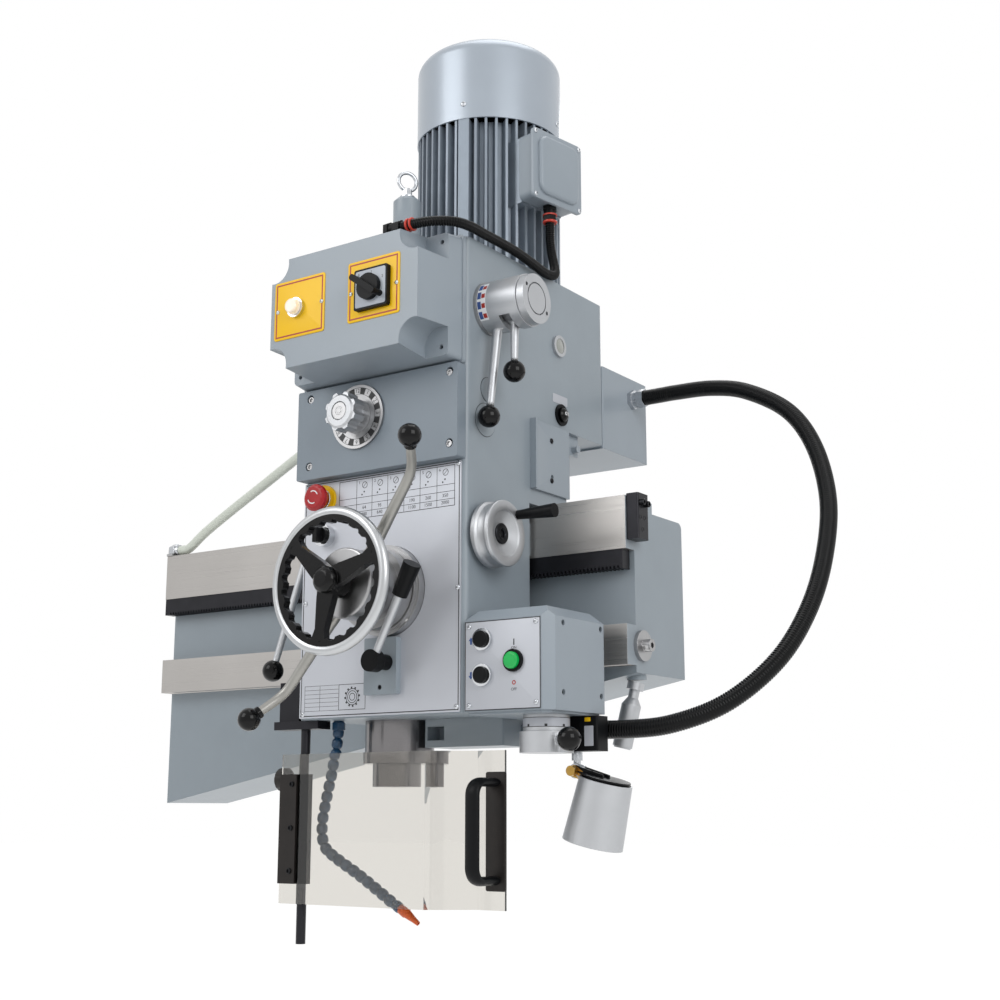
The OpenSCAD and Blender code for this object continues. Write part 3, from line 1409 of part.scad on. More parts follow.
// Round sections swept along a route: the points are joined by a smooth curve first
function spline_point(p, i, t) = let (n = len(p), a = p[max(i - 1, 0)], b = p[i], c = p[i + 1],
    d = p[min(i + 2, n - 1)])
    0.5 * (2 * b + (c - a) * t + (2 * a - 5 * b + 4 * c - d) * t * t
        + (3 * b - a - 3 * c + d) * t * t * t);
function smooth(p, k) = concat([for (i = [0 : len(p) - 2], j = [0 : k - 1]) spline_point(p, i, j / k)],
    [p[len(p) - 1]]);
function unit(v) = v / norm(v);
function heading(p, i) = unit(p[min(i + 1, len(p) - 1)] - p[max(i - 1, 0)]);
function side(t, last) = unit(last - t * (last * t));
function sides(p, i, last) = i == len(p) ? [] : let (s = side(heading(p, i), last))
    concat([s], sides(p, i + 1, s));
module tube(route, d, k, n) {
    p = smooth(route, k);
    s = sides(p, 0, [0, 0.31, 0.95]);
    rings = [for (i = [0 : len(p) - 1]) let (t = heading(p, i), u = s[i], v = cross(t, u))
        [for (j = [0 : n - 1]) p[i] + d / 2 * (u * cos(j * 360 / n) - v * sin(j * 360 / n))]];
    m = len(p);
    polyhedron([for (r = rings) each r], concat(
        [[for (j = [n - 1 : -1 : 0]) j]],
        [for (i = [0 : m - 2], j = [0 : n - 1]) [i * n + j, i * n + (j + 1) % n,
            (i + 1) * n + (j + 1) % n]],
        [for (i = [0 : m - 2], j = [0 : n - 1]) [i * n + j, (i + 1) * n + (j + 1) % n, (i + 1) * n + j]],
        [[for (j = [0 : n - 1]) (m - 1) * n + j]]));
}
module coolant_hose() color("#c8d8c4") at_head() tube(coolant_route, coolant_d, 2, 8);

// A ribbed hose with its bore. Rings stand at even steps along the smooth curve: one on each rib's
// crest and one in each groove outside, and one for each rib inside.
function running_length(p) = [for (i = 0,
    s = 0; i < len(p); s = s + (i + 1 < len(p) ? norm(p[i + 1] - p[i]) : 0),
    i = i + 1) s];
function evenly(p, s, n) = [for (k = [0 : n]) let (at = k * s[len(s) - 1] / n)
    [for (axis = [0 : 2]) lookup(at, [for (i = [0 : len(p) - 1]) [s[i], p[i][axis]]])]];
function hose_ring(p, i, u, r) = let (t = heading(p, i), v = cross(t, u))
    [for (j = [0 : 7]) p[i] + r * (u * cos(j * 45) - v * sin(j * 45))];
function band(a, b) = [for (j = [0 : 7]) each [[a + j, a + (j + 1) % 8, b + (j + 1) % 8],
    [a + j, b + (j + 1) % 8, b + j]]];
module ribbed_hose(route, d, ribs) {
    fine = smooth(route, 12);
    p = evenly(fine, running_length(fine), 2 * ribs);
    s = sides(p, 0, [0, 0.31, 0.95]);
    outside = [for (i = [0 : 2 * ribs]) hose_ring(p, i, s[i], d / 2 - (i % 2 == 1 ? 0 : rib_depth))];
    inside = [for (i = [0 : 2 : 2 * ribs]) hose_ring(p, i, s[i], d / 2 - rib_depth - hose_wall)];
    inner = len(outside) * 8;
    last = len(inside) - 1;
    polyhedron(concat([for (r = outside) each r], [for (r = inside) each r]), concat(
        [for (i = [0 : 2 * ribs - 1]) each band(i * 8, (i + 1) * 8)],
        [for (i = [0 : last - 1]) each band(inner + (i + 1) * 8, inner + i * 8)],
        band(inner, 0), band(16 * ribs, inner + last * 8)));
    echo(str("least gap of this hose to itself, mm: ", self_gap(p, d)));
}
rib_depth = 1.4;
hose_wall = 1.4;
hose_ribs = 112;
conduit_ribs = 62;
// Least distance between two points of the middle line that are four diameters apart along it, less d
function self_gap(p, d) = let (apart = ceil(4 * d / norm(p[1] - p[0])))
    min([for (i = [0 : len(p) - 1 - apart], j = [i + apart : len(p) - 1]) norm(p[i] - p[j])]) - d;
module power_hose() color(black) at_head() ribbed_hose(hose_route, hose_d, hose_ribs);
module motor_conduit() color(black) at_head() ribbed_hose(conduit_route, conduit_d, conduit_ribs);

arm_casting();
traverse_rack();
end_stops();
arm_handle();
head_casting();
control_box();
gear_panel();
name_plate();
side_cover();
rear_box();
cable_glands();
lifting_eye();
sight_glass();
button_bezels();
pilot_lamp();
scale_rings();
clamp_bracket();
motor_frame();
motor_cowl();
terminal_box();
gear_bearings();
button_box();
direction_base();
lamp_bracket();
guard_bracket();
coolant_nozzle();
switch_knob();
estop_button();
selector_knob();
dial_knob();
capstan_hub();
capstan_levers();
handwheel_rim();
handwheel_spider();
traverse_shaft();
clamp_lever();
side_lever();
quill();
spindle_bearings();
spindle();
sleeve_gear();
cluster_gear();
motor_rotor();
gear_lever_long();
gear_lever_short();
fine_wheel();
fine_wheel_grip();
dome_button();
up_button();
down_button();
light_button();
direction_knob();
lamp_arm();
lamp_head();
guard_rod();
guard_shield();
guard_hinge();
power_hose();
coolant_hose();
motor_conduit();
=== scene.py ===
"""Radial arm drill: the drill head on its arm, dressed over the CAD frame.

New pieces are surfaces worked out in millimetres with numpy. The head's own frame has X to the
right, Y to the back and Z up, from the lower right front corner of the head casting. The arm's
frame has its origin at the middle of the root face.
"""
import json
import math

import bmesh
import bpy
import numpy as np
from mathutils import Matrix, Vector

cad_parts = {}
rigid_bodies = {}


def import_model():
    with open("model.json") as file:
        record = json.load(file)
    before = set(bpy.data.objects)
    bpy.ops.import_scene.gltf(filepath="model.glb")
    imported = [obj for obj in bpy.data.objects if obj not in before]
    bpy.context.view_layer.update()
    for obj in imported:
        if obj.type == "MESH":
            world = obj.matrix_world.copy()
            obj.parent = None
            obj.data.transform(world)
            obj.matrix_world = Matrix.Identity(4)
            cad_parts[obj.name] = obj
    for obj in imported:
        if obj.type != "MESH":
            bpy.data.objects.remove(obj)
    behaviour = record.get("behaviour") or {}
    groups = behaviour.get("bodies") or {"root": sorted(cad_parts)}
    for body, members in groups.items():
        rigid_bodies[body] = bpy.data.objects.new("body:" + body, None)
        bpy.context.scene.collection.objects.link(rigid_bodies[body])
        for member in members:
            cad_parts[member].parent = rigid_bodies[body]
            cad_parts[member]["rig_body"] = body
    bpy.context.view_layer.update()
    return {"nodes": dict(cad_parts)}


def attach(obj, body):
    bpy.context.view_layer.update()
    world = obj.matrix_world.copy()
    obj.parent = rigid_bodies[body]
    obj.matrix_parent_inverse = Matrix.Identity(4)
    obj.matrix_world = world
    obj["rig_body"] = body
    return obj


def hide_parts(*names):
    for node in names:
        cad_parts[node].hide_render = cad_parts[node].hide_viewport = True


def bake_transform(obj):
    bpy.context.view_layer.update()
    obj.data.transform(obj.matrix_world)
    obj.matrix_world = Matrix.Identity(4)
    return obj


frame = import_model()

# The origins of the head's and the arm's own frames, and the directions.
HEAD = np.array([776.0, -267.5, -90.9])
ARM = np.zeros(3)
X, Y, Z = np.eye(3)
FRONT = -Y

# Middles of round fittings in the head's frame: those on its front have Y 0, the dome button on its
# right side has X 0, and the motor's upright axis has Z 0.
CAPSTAN = np.array([-134.0, 0, 176])
FEED_DIAL = np.array([-180.0, 0, 435])
ESTOP = np.array([-257.0, 0, 323])
PILOT = np.array([-235.0, 0, 591])
DOME = np.array([0.0, 249, 470])
MOTOR_AXIS = np.array([-150.0, 268, 0])

# How far a printed mark stands off its sheet, in mm.
INK = 0.12


# Camera, floor and light


def set_camera():
    """A 53 mm lens at the photograph's place, looking 34.6 degrees left of +Y and 11.8 up. The
    width, focal length and horizon, which lies under the middle, are in the photograph's pixels."""
    width, focal, horizon, sensor = 1000, 1484, 310, 36
    turn, rise = math.radians(34.6), math.atan(horizon / focal)
    flat = math.cos(rise)
    look = Vector((-math.sin(turn) * flat, math.cos(turn) * flat, math.sin(rise)))
    data = bpy.data.cameras.new("photo_camera")
    data.lens, data.sensor_width, data.clip_end = focal / width * sensor, sensor, 200
    camera = bpy.data.objects.new("photo_camera", data)
    camera.location = (1.960, -1.9005, -0.2189)
    camera.rotation_euler = look.to_track_quat("-Z", "Y").to_euler()
    bpy.context.scene.collection.objects.link(camera)
    bpy.context.scene.camera = camera
    bpy.context.scene.view_settings.view_transform = "Standard"


def linear(code):
    """sRGB hex to linear: c / 12.92 under 0.04045, else ((c + 0.055) / 1.055) ^ 2.4."""
    c = np.array([int(code[i : i + 2], 16) / 255 for i in (1, 3, 5)])
    return (*np.where(c <= 0.04045, c / 12.92, ((c + 0.055) / 1.055) ** 2.4), 1.0)


def add(tree, kind, values=None, **sources):
    """Adds one node. values are its settings or socket values, sources what feeds its sockets."""
    node = tree.nodes.new(kind)
    for key, value in (values or {}).items():
        if isinstance(key, str) and hasattr(node, key):
            setattr(node, key, value)
        else:
            node.inputs[key].default_value = value
    for key, source in sources.items():
        where = int(key[1:]) if key[0] == "i" and key[1:].isdigit() else key.replace("_", " ")
        tree.links.new(source, node.inputs[where])
    return node


def seen_rays(tree):
    """1 for camera, glossy and transmission rays, which are those that see the background."""
    path = add(tree, "ShaderNodeLightPath").outputs
    first = add(tree, "ShaderNodeMath", {"operation": "MAXIMUM"}, i0=path["Is Camera Ray"],
                i1=path["Is Glossy Ray"])
    return add(tree, "ShaderNodeMath", {"operation": "MAXIMUM"}, i0=first.outputs[0],
               i1=path["Is Transmission Ray"]).outputs[0]


def set_world():
    """White where it is seen or mirrored, and a softer even light on the object."""
    world = bpy.data.worlds.new("studio")
    bpy.context.scene.world = world
    world.use_nodes = True
    tree = world.node_tree
    tree.nodes.clear()
    level = add(tree, "ShaderNodeMapRange", {"To Min": 0.50, "To Max": 1.0}, Value=seen_rays(tree))
    back = add(tree, "ShaderNodeBackground", {"Color": (1, 1, 1, 1)}, Strength=level.outputs[0])
    add(tree, "ShaderNodeOutputWorld", Surface=back.outputs[0])


def set_floor():
    """A wide pale matt floor 1.05 m under the arm, lifted to white where it is seen, and clear from
    below."""
    half, level = 30, -1.05
    mesh = bpy.data.meshes.new("studio_floor")
    corners = [(sx * half, sy * half, level) for sx, sy in ((-1, -1), (1, -1), (1, 1), (-1, 1))]
    mesh.from_pydata(corners, [], [(0, 1, 2, 3)])
    floor = bpy.data.objects.new("studio_floor", mesh)
    bpy.context.scene.collection.objects.link(floor)
    mat = bpy.data.materials.new("matt floor paint")
    mat.use_nodes = True
    tree = mat.node_tree
    tree.nodes.clear()
    matt = add(tree, "ShaderNodeBsdfDiffuse", {"Color": linear("#f2f2f1")})
    lift = add(tree, "ShaderNodeMath", {"operation": "MULTIPLY", 1: 0.58}, i0=seen_rays(tree))
    glow = add(tree, "ShaderNodeEmission", {"Color": (1, 1, 1, 1)}, Strength=lift.outputs[0])
    both = add(tree, "ShaderNodeAddShader", i0=matt.outputs[0], i1=glow.outputs[0])
    under = add(tree, "ShaderNodeNewGeometry").outputs["Backfacing"]
    sides = add(tree, "ShaderNodeMixShader", i0=under, i1=both.outputs[0],
                i2=add(tree, "ShaderNodeBsdfTransparent").outputs[0])
    add(tree, "ShaderNodeOutputMaterial", Surface=sides.outputs[0])
    mesh.materials.append(mat)


def set_lights():
    """Soft boxes: (name, place, size, watts), each turned to the middle of the head."""
    aim = Vector((0.7, -0.1, 0.2))
    for name, place, size, power in (
        ("key_box", (-0.5, -2.6, 1.7), 1.7, 30),
        ("right_box", (3.1, -1.2, 1.1), 1.5, 27),
        ("top_box", (0.9, 0.2, 3.0), 1.8, 20),
        ("back_box", (-0.6, 2.4, 1.4), 1.6, 18),
    ):
        data = bpy.data.lights.new(name, "AREA")
        data.size, data.energy = size, power
        lamp = bpy.data.objects.new(name, data)
        lamp.location = place
        lamp.rotation_euler = (aim - Vector(place)).to_track_quat("-Z", "Y").to_euler()
        bpy.context.scene.collection.objects.link(lamp)


# Shapes


def axes(w, hint=None):
    """u, v, w: w along the line given, u the hint made square to it, v = w x u."""
    w = np.asarray(w, float) / np.linalg.norm(w)
    hint = hint if hint is not None else (X if abs(w[0]) < 0.9 else Z)
    u = hint - (hint @ w) * w
    u /= np.linalg.norm(u)
    return u, np.cross(w, u), w


def shell(rings, loop=False):
    """Corners and faces of a grid of rings: quads (i,j), (i,j+1), (i+1,j+1), (i+1,j), and a face on
    the first and the last ring, or the last ring joined to the first."""
    rows, n = rings.shape[:2]
    k = np.arange(rows * n).reshape(rows, n)
    low, high = (k, np.roll(k, -1, 0)) if loop else (k[:-1], k[1:])
    faces = np.stack([low, np.roll(low, -1, 1), np.roll(high, -1, 1), high], -1)
    faces = faces.reshape(-1, 4).tolist()
    if not loop:
        faces += [k[0][::-1].tolist(), k[-1].tolist()]
    return rings.reshape(-1, 3), faces


def turned(profile, at, w, n=48, hint=None, sides=None, loop=False):
    """Rings at + h w + r k(a) (cos a u + sin a v) for profile rows (r, h) and angles a over a turn.
    k is 1, or on rows whose sides entry is s > 2 the polygon's
    cos(pi/s) / cos((a mod 2pi/s) - pi/s). With loop the last row joins the first."""
    profile = np.asarray(profile, float)
    u, v, w = axes(w, hint)
    a = np.linspace(0, 2 * np.pi, n, endpoint=False)
    k = np.ones((len(profile), n))
    for row, s in enumerate(sides or ()):
        if s > 2:
            k[row] = np.cos(np.pi / s) / np.cos(a % (2 * np.pi / s) - np.pi / s)
    ring = np.cos(a)[:, None] * u + np.sin(a)[:, None] * v
    reach = (profile[:, 0][:, None] * k)[..., None] * ring
    return shell(at + profile[:, 1][:, None, None] * w + reach, loop)


def smooth_line(points, count):
    """Catmull-Rom line: on each span p1 + t m1 + t^2 (3d - 2m1 - m2) + t^3 (m1 + m2 - 2d), where d
    is the span and m half the step across each end, then count points at even steps of its
    length."""
    p = np.asarray(points, float)
    p = np.vstack([2 * p[0] - p[1], p, 2 * p[-1] - p[-2]])
    t = np.linspace(0, 1, 12, endpoint=False)[:, None, None]
    a, b = p[1:-2], p[2:-1]
    m, o, d = (b - p[:-3]) / 2, (p[3:] - a) / 2, b - a
    c = a + t * m + t**2 * (3 * d - 2 * m - o) + t**3 * (m + o - 2 * d)
    c = np.vstack([c.transpose(1, 0, 2).reshape(-1, 3), p[-2]])
    s = np.concatenate([[0], np.cumsum(np.linalg.norm(np.diff(c, axis=0), axis=1))])
    return np.stack([np.interp(np.linspace(0, s[-1], count), s, c[:, i]) for i in range(3)], axis=1)


def tube(line, radius, n, flat=1.0):
    """A ring r (cos a u + flat sin a v) square to the line at each point. Each u is the one before
    with its share along the line taken out, so the tube doesn't twist."""
    line = np.asarray(line, float)
    t = np.gradient(line, axis=0)
    t /= np.linalg.norm(t, axis=1)[:, None]
    u = np.empty_like(t)
    u[0] = axes(t[0])[0]
    for i in range(1, len(t)):
        u[i] = u[i - 1] - (u[i - 1] @ t[i]) * t[i]
        u[i] /= np.linalg.norm(u[i])
    v = np.cross(t, u)
    a = np.linspace(0, 2 * np.pi, n, endpoint=False)
    r = np.broadcast_to(np.asarray(radius, float), (len(line),))[:, None, None]
    across = flat * np.sin(a)[:, None] * v[:, None]
    return shell(line[:, None] + r * (np.cos(a)[:, None] * u[:, None] + across))


def rounded(w, h, r):
    """Outline of a w by h rectangle about its middle, each corner an arc of radius r in 6 steps."""
    a = np.linspace(0, np.pi / 2, 7)
    x, y = w / 2 - r, h / 2 - r
    return np.vstack([
        np.stack([sx * x + r * np.cos(a + q), sy * y + r * np.sin(a + q)], 1)
        for sx, sy, q in ((1, 1, 0), (-1, 1, np.pi / 2), (-1, -1, np.pi), (1, -1, 1.5 * np.pi))])


def slab(outline, at, w, hint, low, high, edge=0.0, steps=3):
    """The outline carried from low to high along w, its upper edge a quarter round: the outline
    moves in by edge (1 - cos b) and up by edge sin b. The step in is along the outline's normal."""
    o = np.asarray(outline, float)
    d = np.roll(o, -1, 0) - np.roll(o, 1, 0)
    normal = np.stack([d[:, 1], -d[:, 0]], 1)
    normal /= np.maximum(np.linalg.norm(normal, axis=1), 1e-9)[:, None]
    b = np.linspace(0, np.pi / 2, steps + 1) if edge else np.zeros(1)
    inset = np.concatenate([[0], edge * (1 - np.cos(b))])
    up = np.concatenate([[low], high - edge + edge * np.sin(b)])
    u, v, w = axes(w, hint)
    p = o[None] - inset[:, None, None] * normal[None]
    return shell(at + p[..., :1] * u + p[..., 1:] * v + up[:, None, None] * w)


def joined(parts):
    """All parts' corners in one array, and their faces counted on from each other."""
    corners, faces, base = [], [], 0
    for v, f in parts:
        corners.append(v)
        faces += [[i + base for i in face] for face in f]
        base += len(v)
    return np.vstack(corners), faces


def placed(name, mesh, body, stands_for, sharp):
    """Links a mesh as an object at the origin, smooth but for edges over the sharp angle. It rides
    a body or has none, and stands for the CAD nodes given."""
    mesh.polygons.foreach_set("use_smooth", np.ones(len(mesh.polygons), bool))
    mesh.set_sharp_from_angle(angle=math.radians(sharp))
    obj = bpy.data.objects.new(name, mesh)
    bpy.context.scene.collection.objects.link(obj)
    if body:
        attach(obj, body)
    if stands_for:
        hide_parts(*stands_for)
    return obj


def piece(name, parts, finish, body, stands_for=(), sharp=32, origin=HEAD):
    """One object of closed parts given in mm from the origin."""
    corners, faces = joined(parts)
    mesh = bpy.data.meshes.new(name)
    mesh.from_pydata((corners + origin) / 1000, [], faces)
    mesh.materials.append(finish)
    return placed(name, mesh, body, stands_for, sharp)


def dressed(node, finish, others=(), without=None):
    """A welded copy of a CAD node, so that its curves shade smooth. Each of others is a finish and
    a function of the faces' middles, in head mm, that is true where that finish goes. Loose parts
    whose corners are all where without is true are left out, for a new piece to stand for them."""
    source = frame["nodes"][node]
    mesh = source.data.copy()
    welded = bmesh.new()
    welded.from_mesh(mesh)
    bmesh.ops.remove_doubles(welded, verts=welded.verts, dist=2e-6)
    if without:
        corners = np.array([v.co for v in welded.verts]) * 1000 - HEAD
        gone = [v for v, there in zip(welded.verts, without(corners)) if there]
        bmesh.ops.delete(welded, geom=gone, context="VERTS")
    mesh.materials.clear()
    mesh.materials.append(finish)
    middles = np.array([f.calc_center_median() for f in welded.faces]) * 1000 - HEAD
    for k, (other, where) in enumerate(others, 1):
        mesh.materials.append(other)
        for face, there in zip(welded.faces, where(middles)):
            if there:
                face.material_index = k
    bmesh.ops.dissolve_limit(welded, angle_limit=math.radians(0.4), verts=welded.verts,
                             edges=welded.edges, delimit={"MATERIAL"})
    welded.to_mesh(mesh)
    welded.free()
    obj = placed(node + "_skin", mesh, source["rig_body"], (node,), sharp=30)
    weighted = obj.modifiers.new("flat faces stay flat", "WEIGHTED_NORMAL")
    weighted.keep_sharp, weighted.weight = True, 60


def printed(words, size, at, w=FRONT, up=Z, thick=INK):
    """A word as thin closed letters, size mm high, lying on the plane through at square to w."""
    text = bpy.data.curves.new("letters", "FONT")
    text.body, text.size, text.extrude = words, size, thick
    text.align_x, text.align_y, text.resolution_u = "CENTER", "CENTER", 3
    holder = bpy.data.objects.new("letters", text)
    mesh = bpy.data.meshes.new_from_object(holder)
    co = np.empty(len(mesh.vertices) * 3)
    mesh.vertices.foreach_get("co", co)
    co = co.reshape(-1, 3)
    faces = [list(p.vertices) for p in mesh.polygons]
    bpy.data.objects.remove(holder)
    bpy.data.meshes.remove(mesh)
    bpy.data.curves.remove(text)
    v, minus_u, w = axes(w, up)
    return at + co[:, :1] * -minus_u + co[:, 1:2] * v + co[:, 2:] * w, faces


def strip(a, b, width, y, thick=INK):
    """A thin closed bar from (x, z) a to b on the front plane Y = y."""
    a, b = np.asarray(a, float), np.asarray(b, float)
    along = (b - a) / np.linalg.norm(b - a)
    side = np.array([-along[1], along[0]]) * width / 2
    return slab([a - side, b - side, b + side, a + side], (0, y, 0), FRONT, X, -thick, thick)


def framed(x0, z0, x1, z1, width, y):
    """Four bars round a rectangle, each a little longer than its side so that the corners close,
    and the upright ones a little thinner so that no two faces lie in one plane."""
    h, thinner = width / 2, INK * 0.98
    return [strip((x0 - h, z0), (x1 + h, z0), width, y),
            strip((x1, z0 - h), (x1, z1 + h), width, y, thinner),
            strip((x1 + h, z1), (x0 - h, z1), width, y),
            strip((x0, z1 + h), (x0, z0 - h), width, y, thinner)]


def sheet(x0, x1, z0, z1, y, r, thick, edge):
    """A thin plate with round corners and edges on the front plane Y = y, sunk in it a little."""
    middle, sunk = ((x0 + x1) / 2, y, (z0 + z1) / 2), 0.3
    return slab(rounded(x1 - x0, z1 - z0, r), middle, FRONT, X, -sunk, thick, edge)


def arc_bar(at, r0, r1, a0, a1, thick=INK):
    """A thin part of a flat ring facing front, between two radii and two angles in degrees."""
    a = np.radians(np.linspace(a0, a1, 2 + int(abs(a1 - a0) / 8)))
    arc = np.stack([np.cos(a), np.sin(a)], 1)
    return slab(np.vstack([arc * r1, arc[::-1] * r0]), at, FRONT, X, -thick, thick)


def flat_ring(at, w, hint, r0, r1, thick=INK, n=32):
    """A thin closed ring between two radii: a rectangle turned about w."""
    rows = [(r0, -thick), (r1, -thick), (r1, thick), (r0, thick)]
    return turned(rows, at, w, n, hint, loop=True)


def band(at, w, hint, r, h0, h1, a0, a1, thick=0.25):
    """A thin sheet bent round w: the rectangle of heights h0 to h1 and radii r - sunk to r + thick,
    carried from angle a0 to a1 in degrees."""
    sunk = 0.3
    u, v, w = axes(w, hint)
    a = np.radians(np.linspace(a0, a1, 2 + int(abs(a1 - a0) / 6)))
    out = np.cos(a)[:, None] * u + np.sin(a)[:, None] * v
    edge = np.array([(h0, r - sunk), (h1, r - sunk), (h1, r + thick), (h0, r + thick)])
    return shell(at + edge[None, :, :1] * w + edge[None, :, 1:] * out[:, None])


def socket_screw(at, w, d, h):
    """Cylinder head with its edge broken by 0.6 mm and a hexagon recess of 0.58 of its width."""
    r, k, broken = d / 2, d * 0.29, 0.6
    rows = [(r, -h * 0.3), (r, h - broken), (r - broken, h), (k * 1.12, h), (k, h - 0.4),
            (k * 0.98, h * 0.35)]
    return turned(rows, at, w, 24, Z if abs(w[2]) < 0.9 else X, [0, 0, 0, 6, 6, 6])


def cross_screw(at, w, d, h=2.2):
    """Low dome head in rings of falling radius, with a four-armed recess: its ring's radius is
    0.16 + 0.36 |cos 2(a + turn)|^6 of the head's, which is 0.52 along the arms."""
    n, turn = 32, 0.6
    u, v, w = axes(w)
    a = np.linspace(0, 2 * np.pi, n, endpoint=False)
    cross = 0.16 + 0.36 * np.abs(np.cos(2 * (a + turn))) ** 6
    dome = [np.full(n, share) for share in (1.0, 1.0, 0.86, 0.62)]
    radii = np.stack(dome + [cross, cross * 0.8]) * d / 2
    up = np.array([-0.5, 0.25, 0.62, 0.9, 1.0, 0.35]) * h
    ring = np.cos(a)[:, None] * u + np.sin(a)[:, None] * v
    return shell(at + up[:, None, None] * w + radii[..., None] * ring)


# Finishes


def bumped(tree, source, height, normal):
    """A bump of the source's height in mm on the normal given, if there is one."""
    feeds = {"Height": source, **({"Normal": normal} if normal else {})}
    return add(tree, "ShaderNodeBump", {"Distance": height / 1000}, **feeds).outputs[0]


def surface(name, colour, rough, metal=0.0, cloud=None, grain=None, marks=None, edge=0.0,
            more=None):
    """One finish. cloud is (size, share): the colour goes up and down by that share in soft patches
    of that size. grain is (size, height): a bump of even noise. marks is (sizes along X, Y and Z,
    height, spread): noise drawn out to those sizes for tool marks, in the bump and, by the spread,
    in the roughness. edge is the radius that the light sees on corners. All lengths are in mm."""
    mat = bpy.data.materials.new(name)
    mat.use_nodes = True
    tree = mat.node_tree
    shader = tree.nodes["Principled BSDF"]
    base = linear(colour)
    sockets = {"Base Color": base, "Roughness": rough, "Metallic": metal, **(more or {})}
    for key, value in sockets.items():
        shader.inputs[key].default_value = value
    place = add(tree, "ShaderNodeTexCoord").outputs["Object"]
    if cloud:
        size, share = cloud
        patches = add(tree, "ShaderNodeTexNoise", {"Scale": 1000 / size, "Detail": 3.0},
                      Vector=place)
        ramp = add(tree, "ShaderNodeValToRGB", Fac=patches.outputs["Fac"])
        for stop, at, gain in zip(ramp.color_ramp.elements, (0.3, 0.7), (1 - share, 1 + share)):
            stop.position, stop.color = at, (*(min(c * gain, 1.0) for c in base[:3]), 1.0)
        tree.links.new(ramp.outputs["Color"], shader.inputs["Base Color"])
    normal = None
    if edge:
        normal = add(tree, "ShaderNodeBevel", {"samples": 4, "Radius": edge / 1000}).outputs[0]
    if grain:
        size, height = grain
        skin = add(tree, "ShaderNodeTexNoise", {"Scale": 1000 / size, "Detail": 2.0}, Vector=place)
        normal = bumped(tree, skin.outputs["Fac"], height, normal)
    if marks:
        sizes, height, spread = marks
        drawn = add(tree, "ShaderNodeMapping", {"Scale": [1000 / s for s in sizes]}, Vector=place)
        lines = add(tree, "ShaderNodeTexNoise", {"Scale": 1.0, "Detail": 3.0},
                    Vector=drawn.outputs[0])
        normal = bumped(tree, lines.outputs["Fac"], height, normal)
        uneven = add(tree, "ShaderNodeMapRange", {"From Min": 0.3, "From Max": 0.7,
                     "To Min": max(rough - spread, 0.02), "To Max": rough + spread},
                     Value=lines.outputs["Fac"])
        tree.links.new(uneven.outputs[0], shader.inputs["Roughness"])
    if normal:
        tree.links.new(normal, shader.inputs["Normal"])
    return mat


# Two-pack machine enamel sprayed on filled castings: satin, with a fine orange peel.
casting_enamel = surface("machine enamel on cast iron", "#8f99a1", 0.40, cloud=(70, 0.03),
                         grain=(2.4, 0.05), edge=1.2,
                         more={"Coat Weight": 0.12, "Coat Roughness": 0.25})
# The same enamel on pressed and moulded covers, smoother than on the castings.
cover_enamel = surface("machine enamel on covers", "#929ca5", 0.38, cloud=(90, 0.02),
                       grain=(3.0, 0.03), edge=1.5,
                       more={"Coat Weight": 0.15, "Coat Roughness": 0.2})
# The gear panel is a darker, bluer coat of the same enamel on rolled plate.
panel_enamel = surface("dark enamel on steel plate", "#7d8892", 0.42, cloud=(80, 0.03),
                       grain=(2.2, 0.04), edge=0.8)
# Silver-grey stove enamel straight on sand-cast ribs, so the sand's grain shows through.
motor_enamel = surface("silver enamel on sand casting", "#8c96a1", 0.42, 0.25, cloud=(30, 0.05),
                       grain=(1.6, 0.12), edge=0.8)
# The cowl is spun steel with a silver lacquer, which mirrors softly.
cowl_lacquer = surface("silver lacquer on spun steel", "#a3acb6", 0.34, 0.35, cloud=(60, 0.02),
                       grain=(2.0, 0.02), edge=1.0,
                       more={"Coat Weight": 0.3, "Coat Roughness": 0.18})
# Anodised aluminium sheet with its rolling direction across the plate.
plate_anodised = surface("silver anodised sheet", "#bfc2c9", 0.42, 0.35, cloud=(120, 0.015),
                         marks=((40, 0.5, 0.5), 0.002, 0.05))
# Slideways ground along the arm: pale, with fine lines that run its whole length.
ground_steel = surface("ground steel", "#aeaba8", 0.34, 0.88, cloud=(120, 0.04),
                       marks=((260, 0.9, 0.9), 0.004, 0.08), edge=0.6)
# Steel turned between centres: rings round the upright axis. Its colour is darker than bare
# steel's: a painted reflection of dark surroundings.
turned_steel_painted_dark = surface("turned steel", "#7d7b7c", 0.22, 1.0, cloud=(60, 0.03),
                       marks=((300, 300, 0.35), 0.0008, 0.05), edge=0.7)
# Steel turned about the front-to-back axis of the capstan.
turned_front = surface("turned steel, faced", "#a6a6a7", 0.34, 1.0, cloud=(40, 0.04),
                       marks=((300, 0.6, 300), 0.003, 0.07), edge=0.6)
# Drawn bar of the capstan's levers, dull from handling.
lever_steel = surface("dull drawn steel", "#94938f", 0.40, 0.9, cloud=(30, 0.05), grain=(1.2, 0.01))
# Hot-rolled and blackened steel of racks and stops: dark oxide with a soft sheen.
black_oxide = surface("blackened steel", "#26262a", 0.38, 0.75, cloud=(25, 0.12),
                      grain=(0.9, 0.015), edge=0.6)
# Cap screws: oil-black, small enough that only their glints show.
screw_black = surface("oil-black screw steel", "#1d1e21", 0.30, 0.8, cloud=(4, 0.15), edge=0.25)
# Zinc-plated pan head screws.
screw_zinc = surface("zinc plate", "#b8bbbf", 0.27, 1.0, cloud=(3, 0.08), edge=0.2)
# Chromed rings of push buttons: hard bright nickel under chrome.
chrome = surface("chrome plate", "#d4d6d9", 0.07, 1.0, cloud=(20, 0.02), edge=0.4)
# Die-cast aluminium, turned and then satin lacquered.
satin_aluminium = surface("satin aluminium", "#b3b5b8", 0.42, 0.85, cloud=(30, 0.03),
                          grain=(0.8, 0.01), edge=0.8)
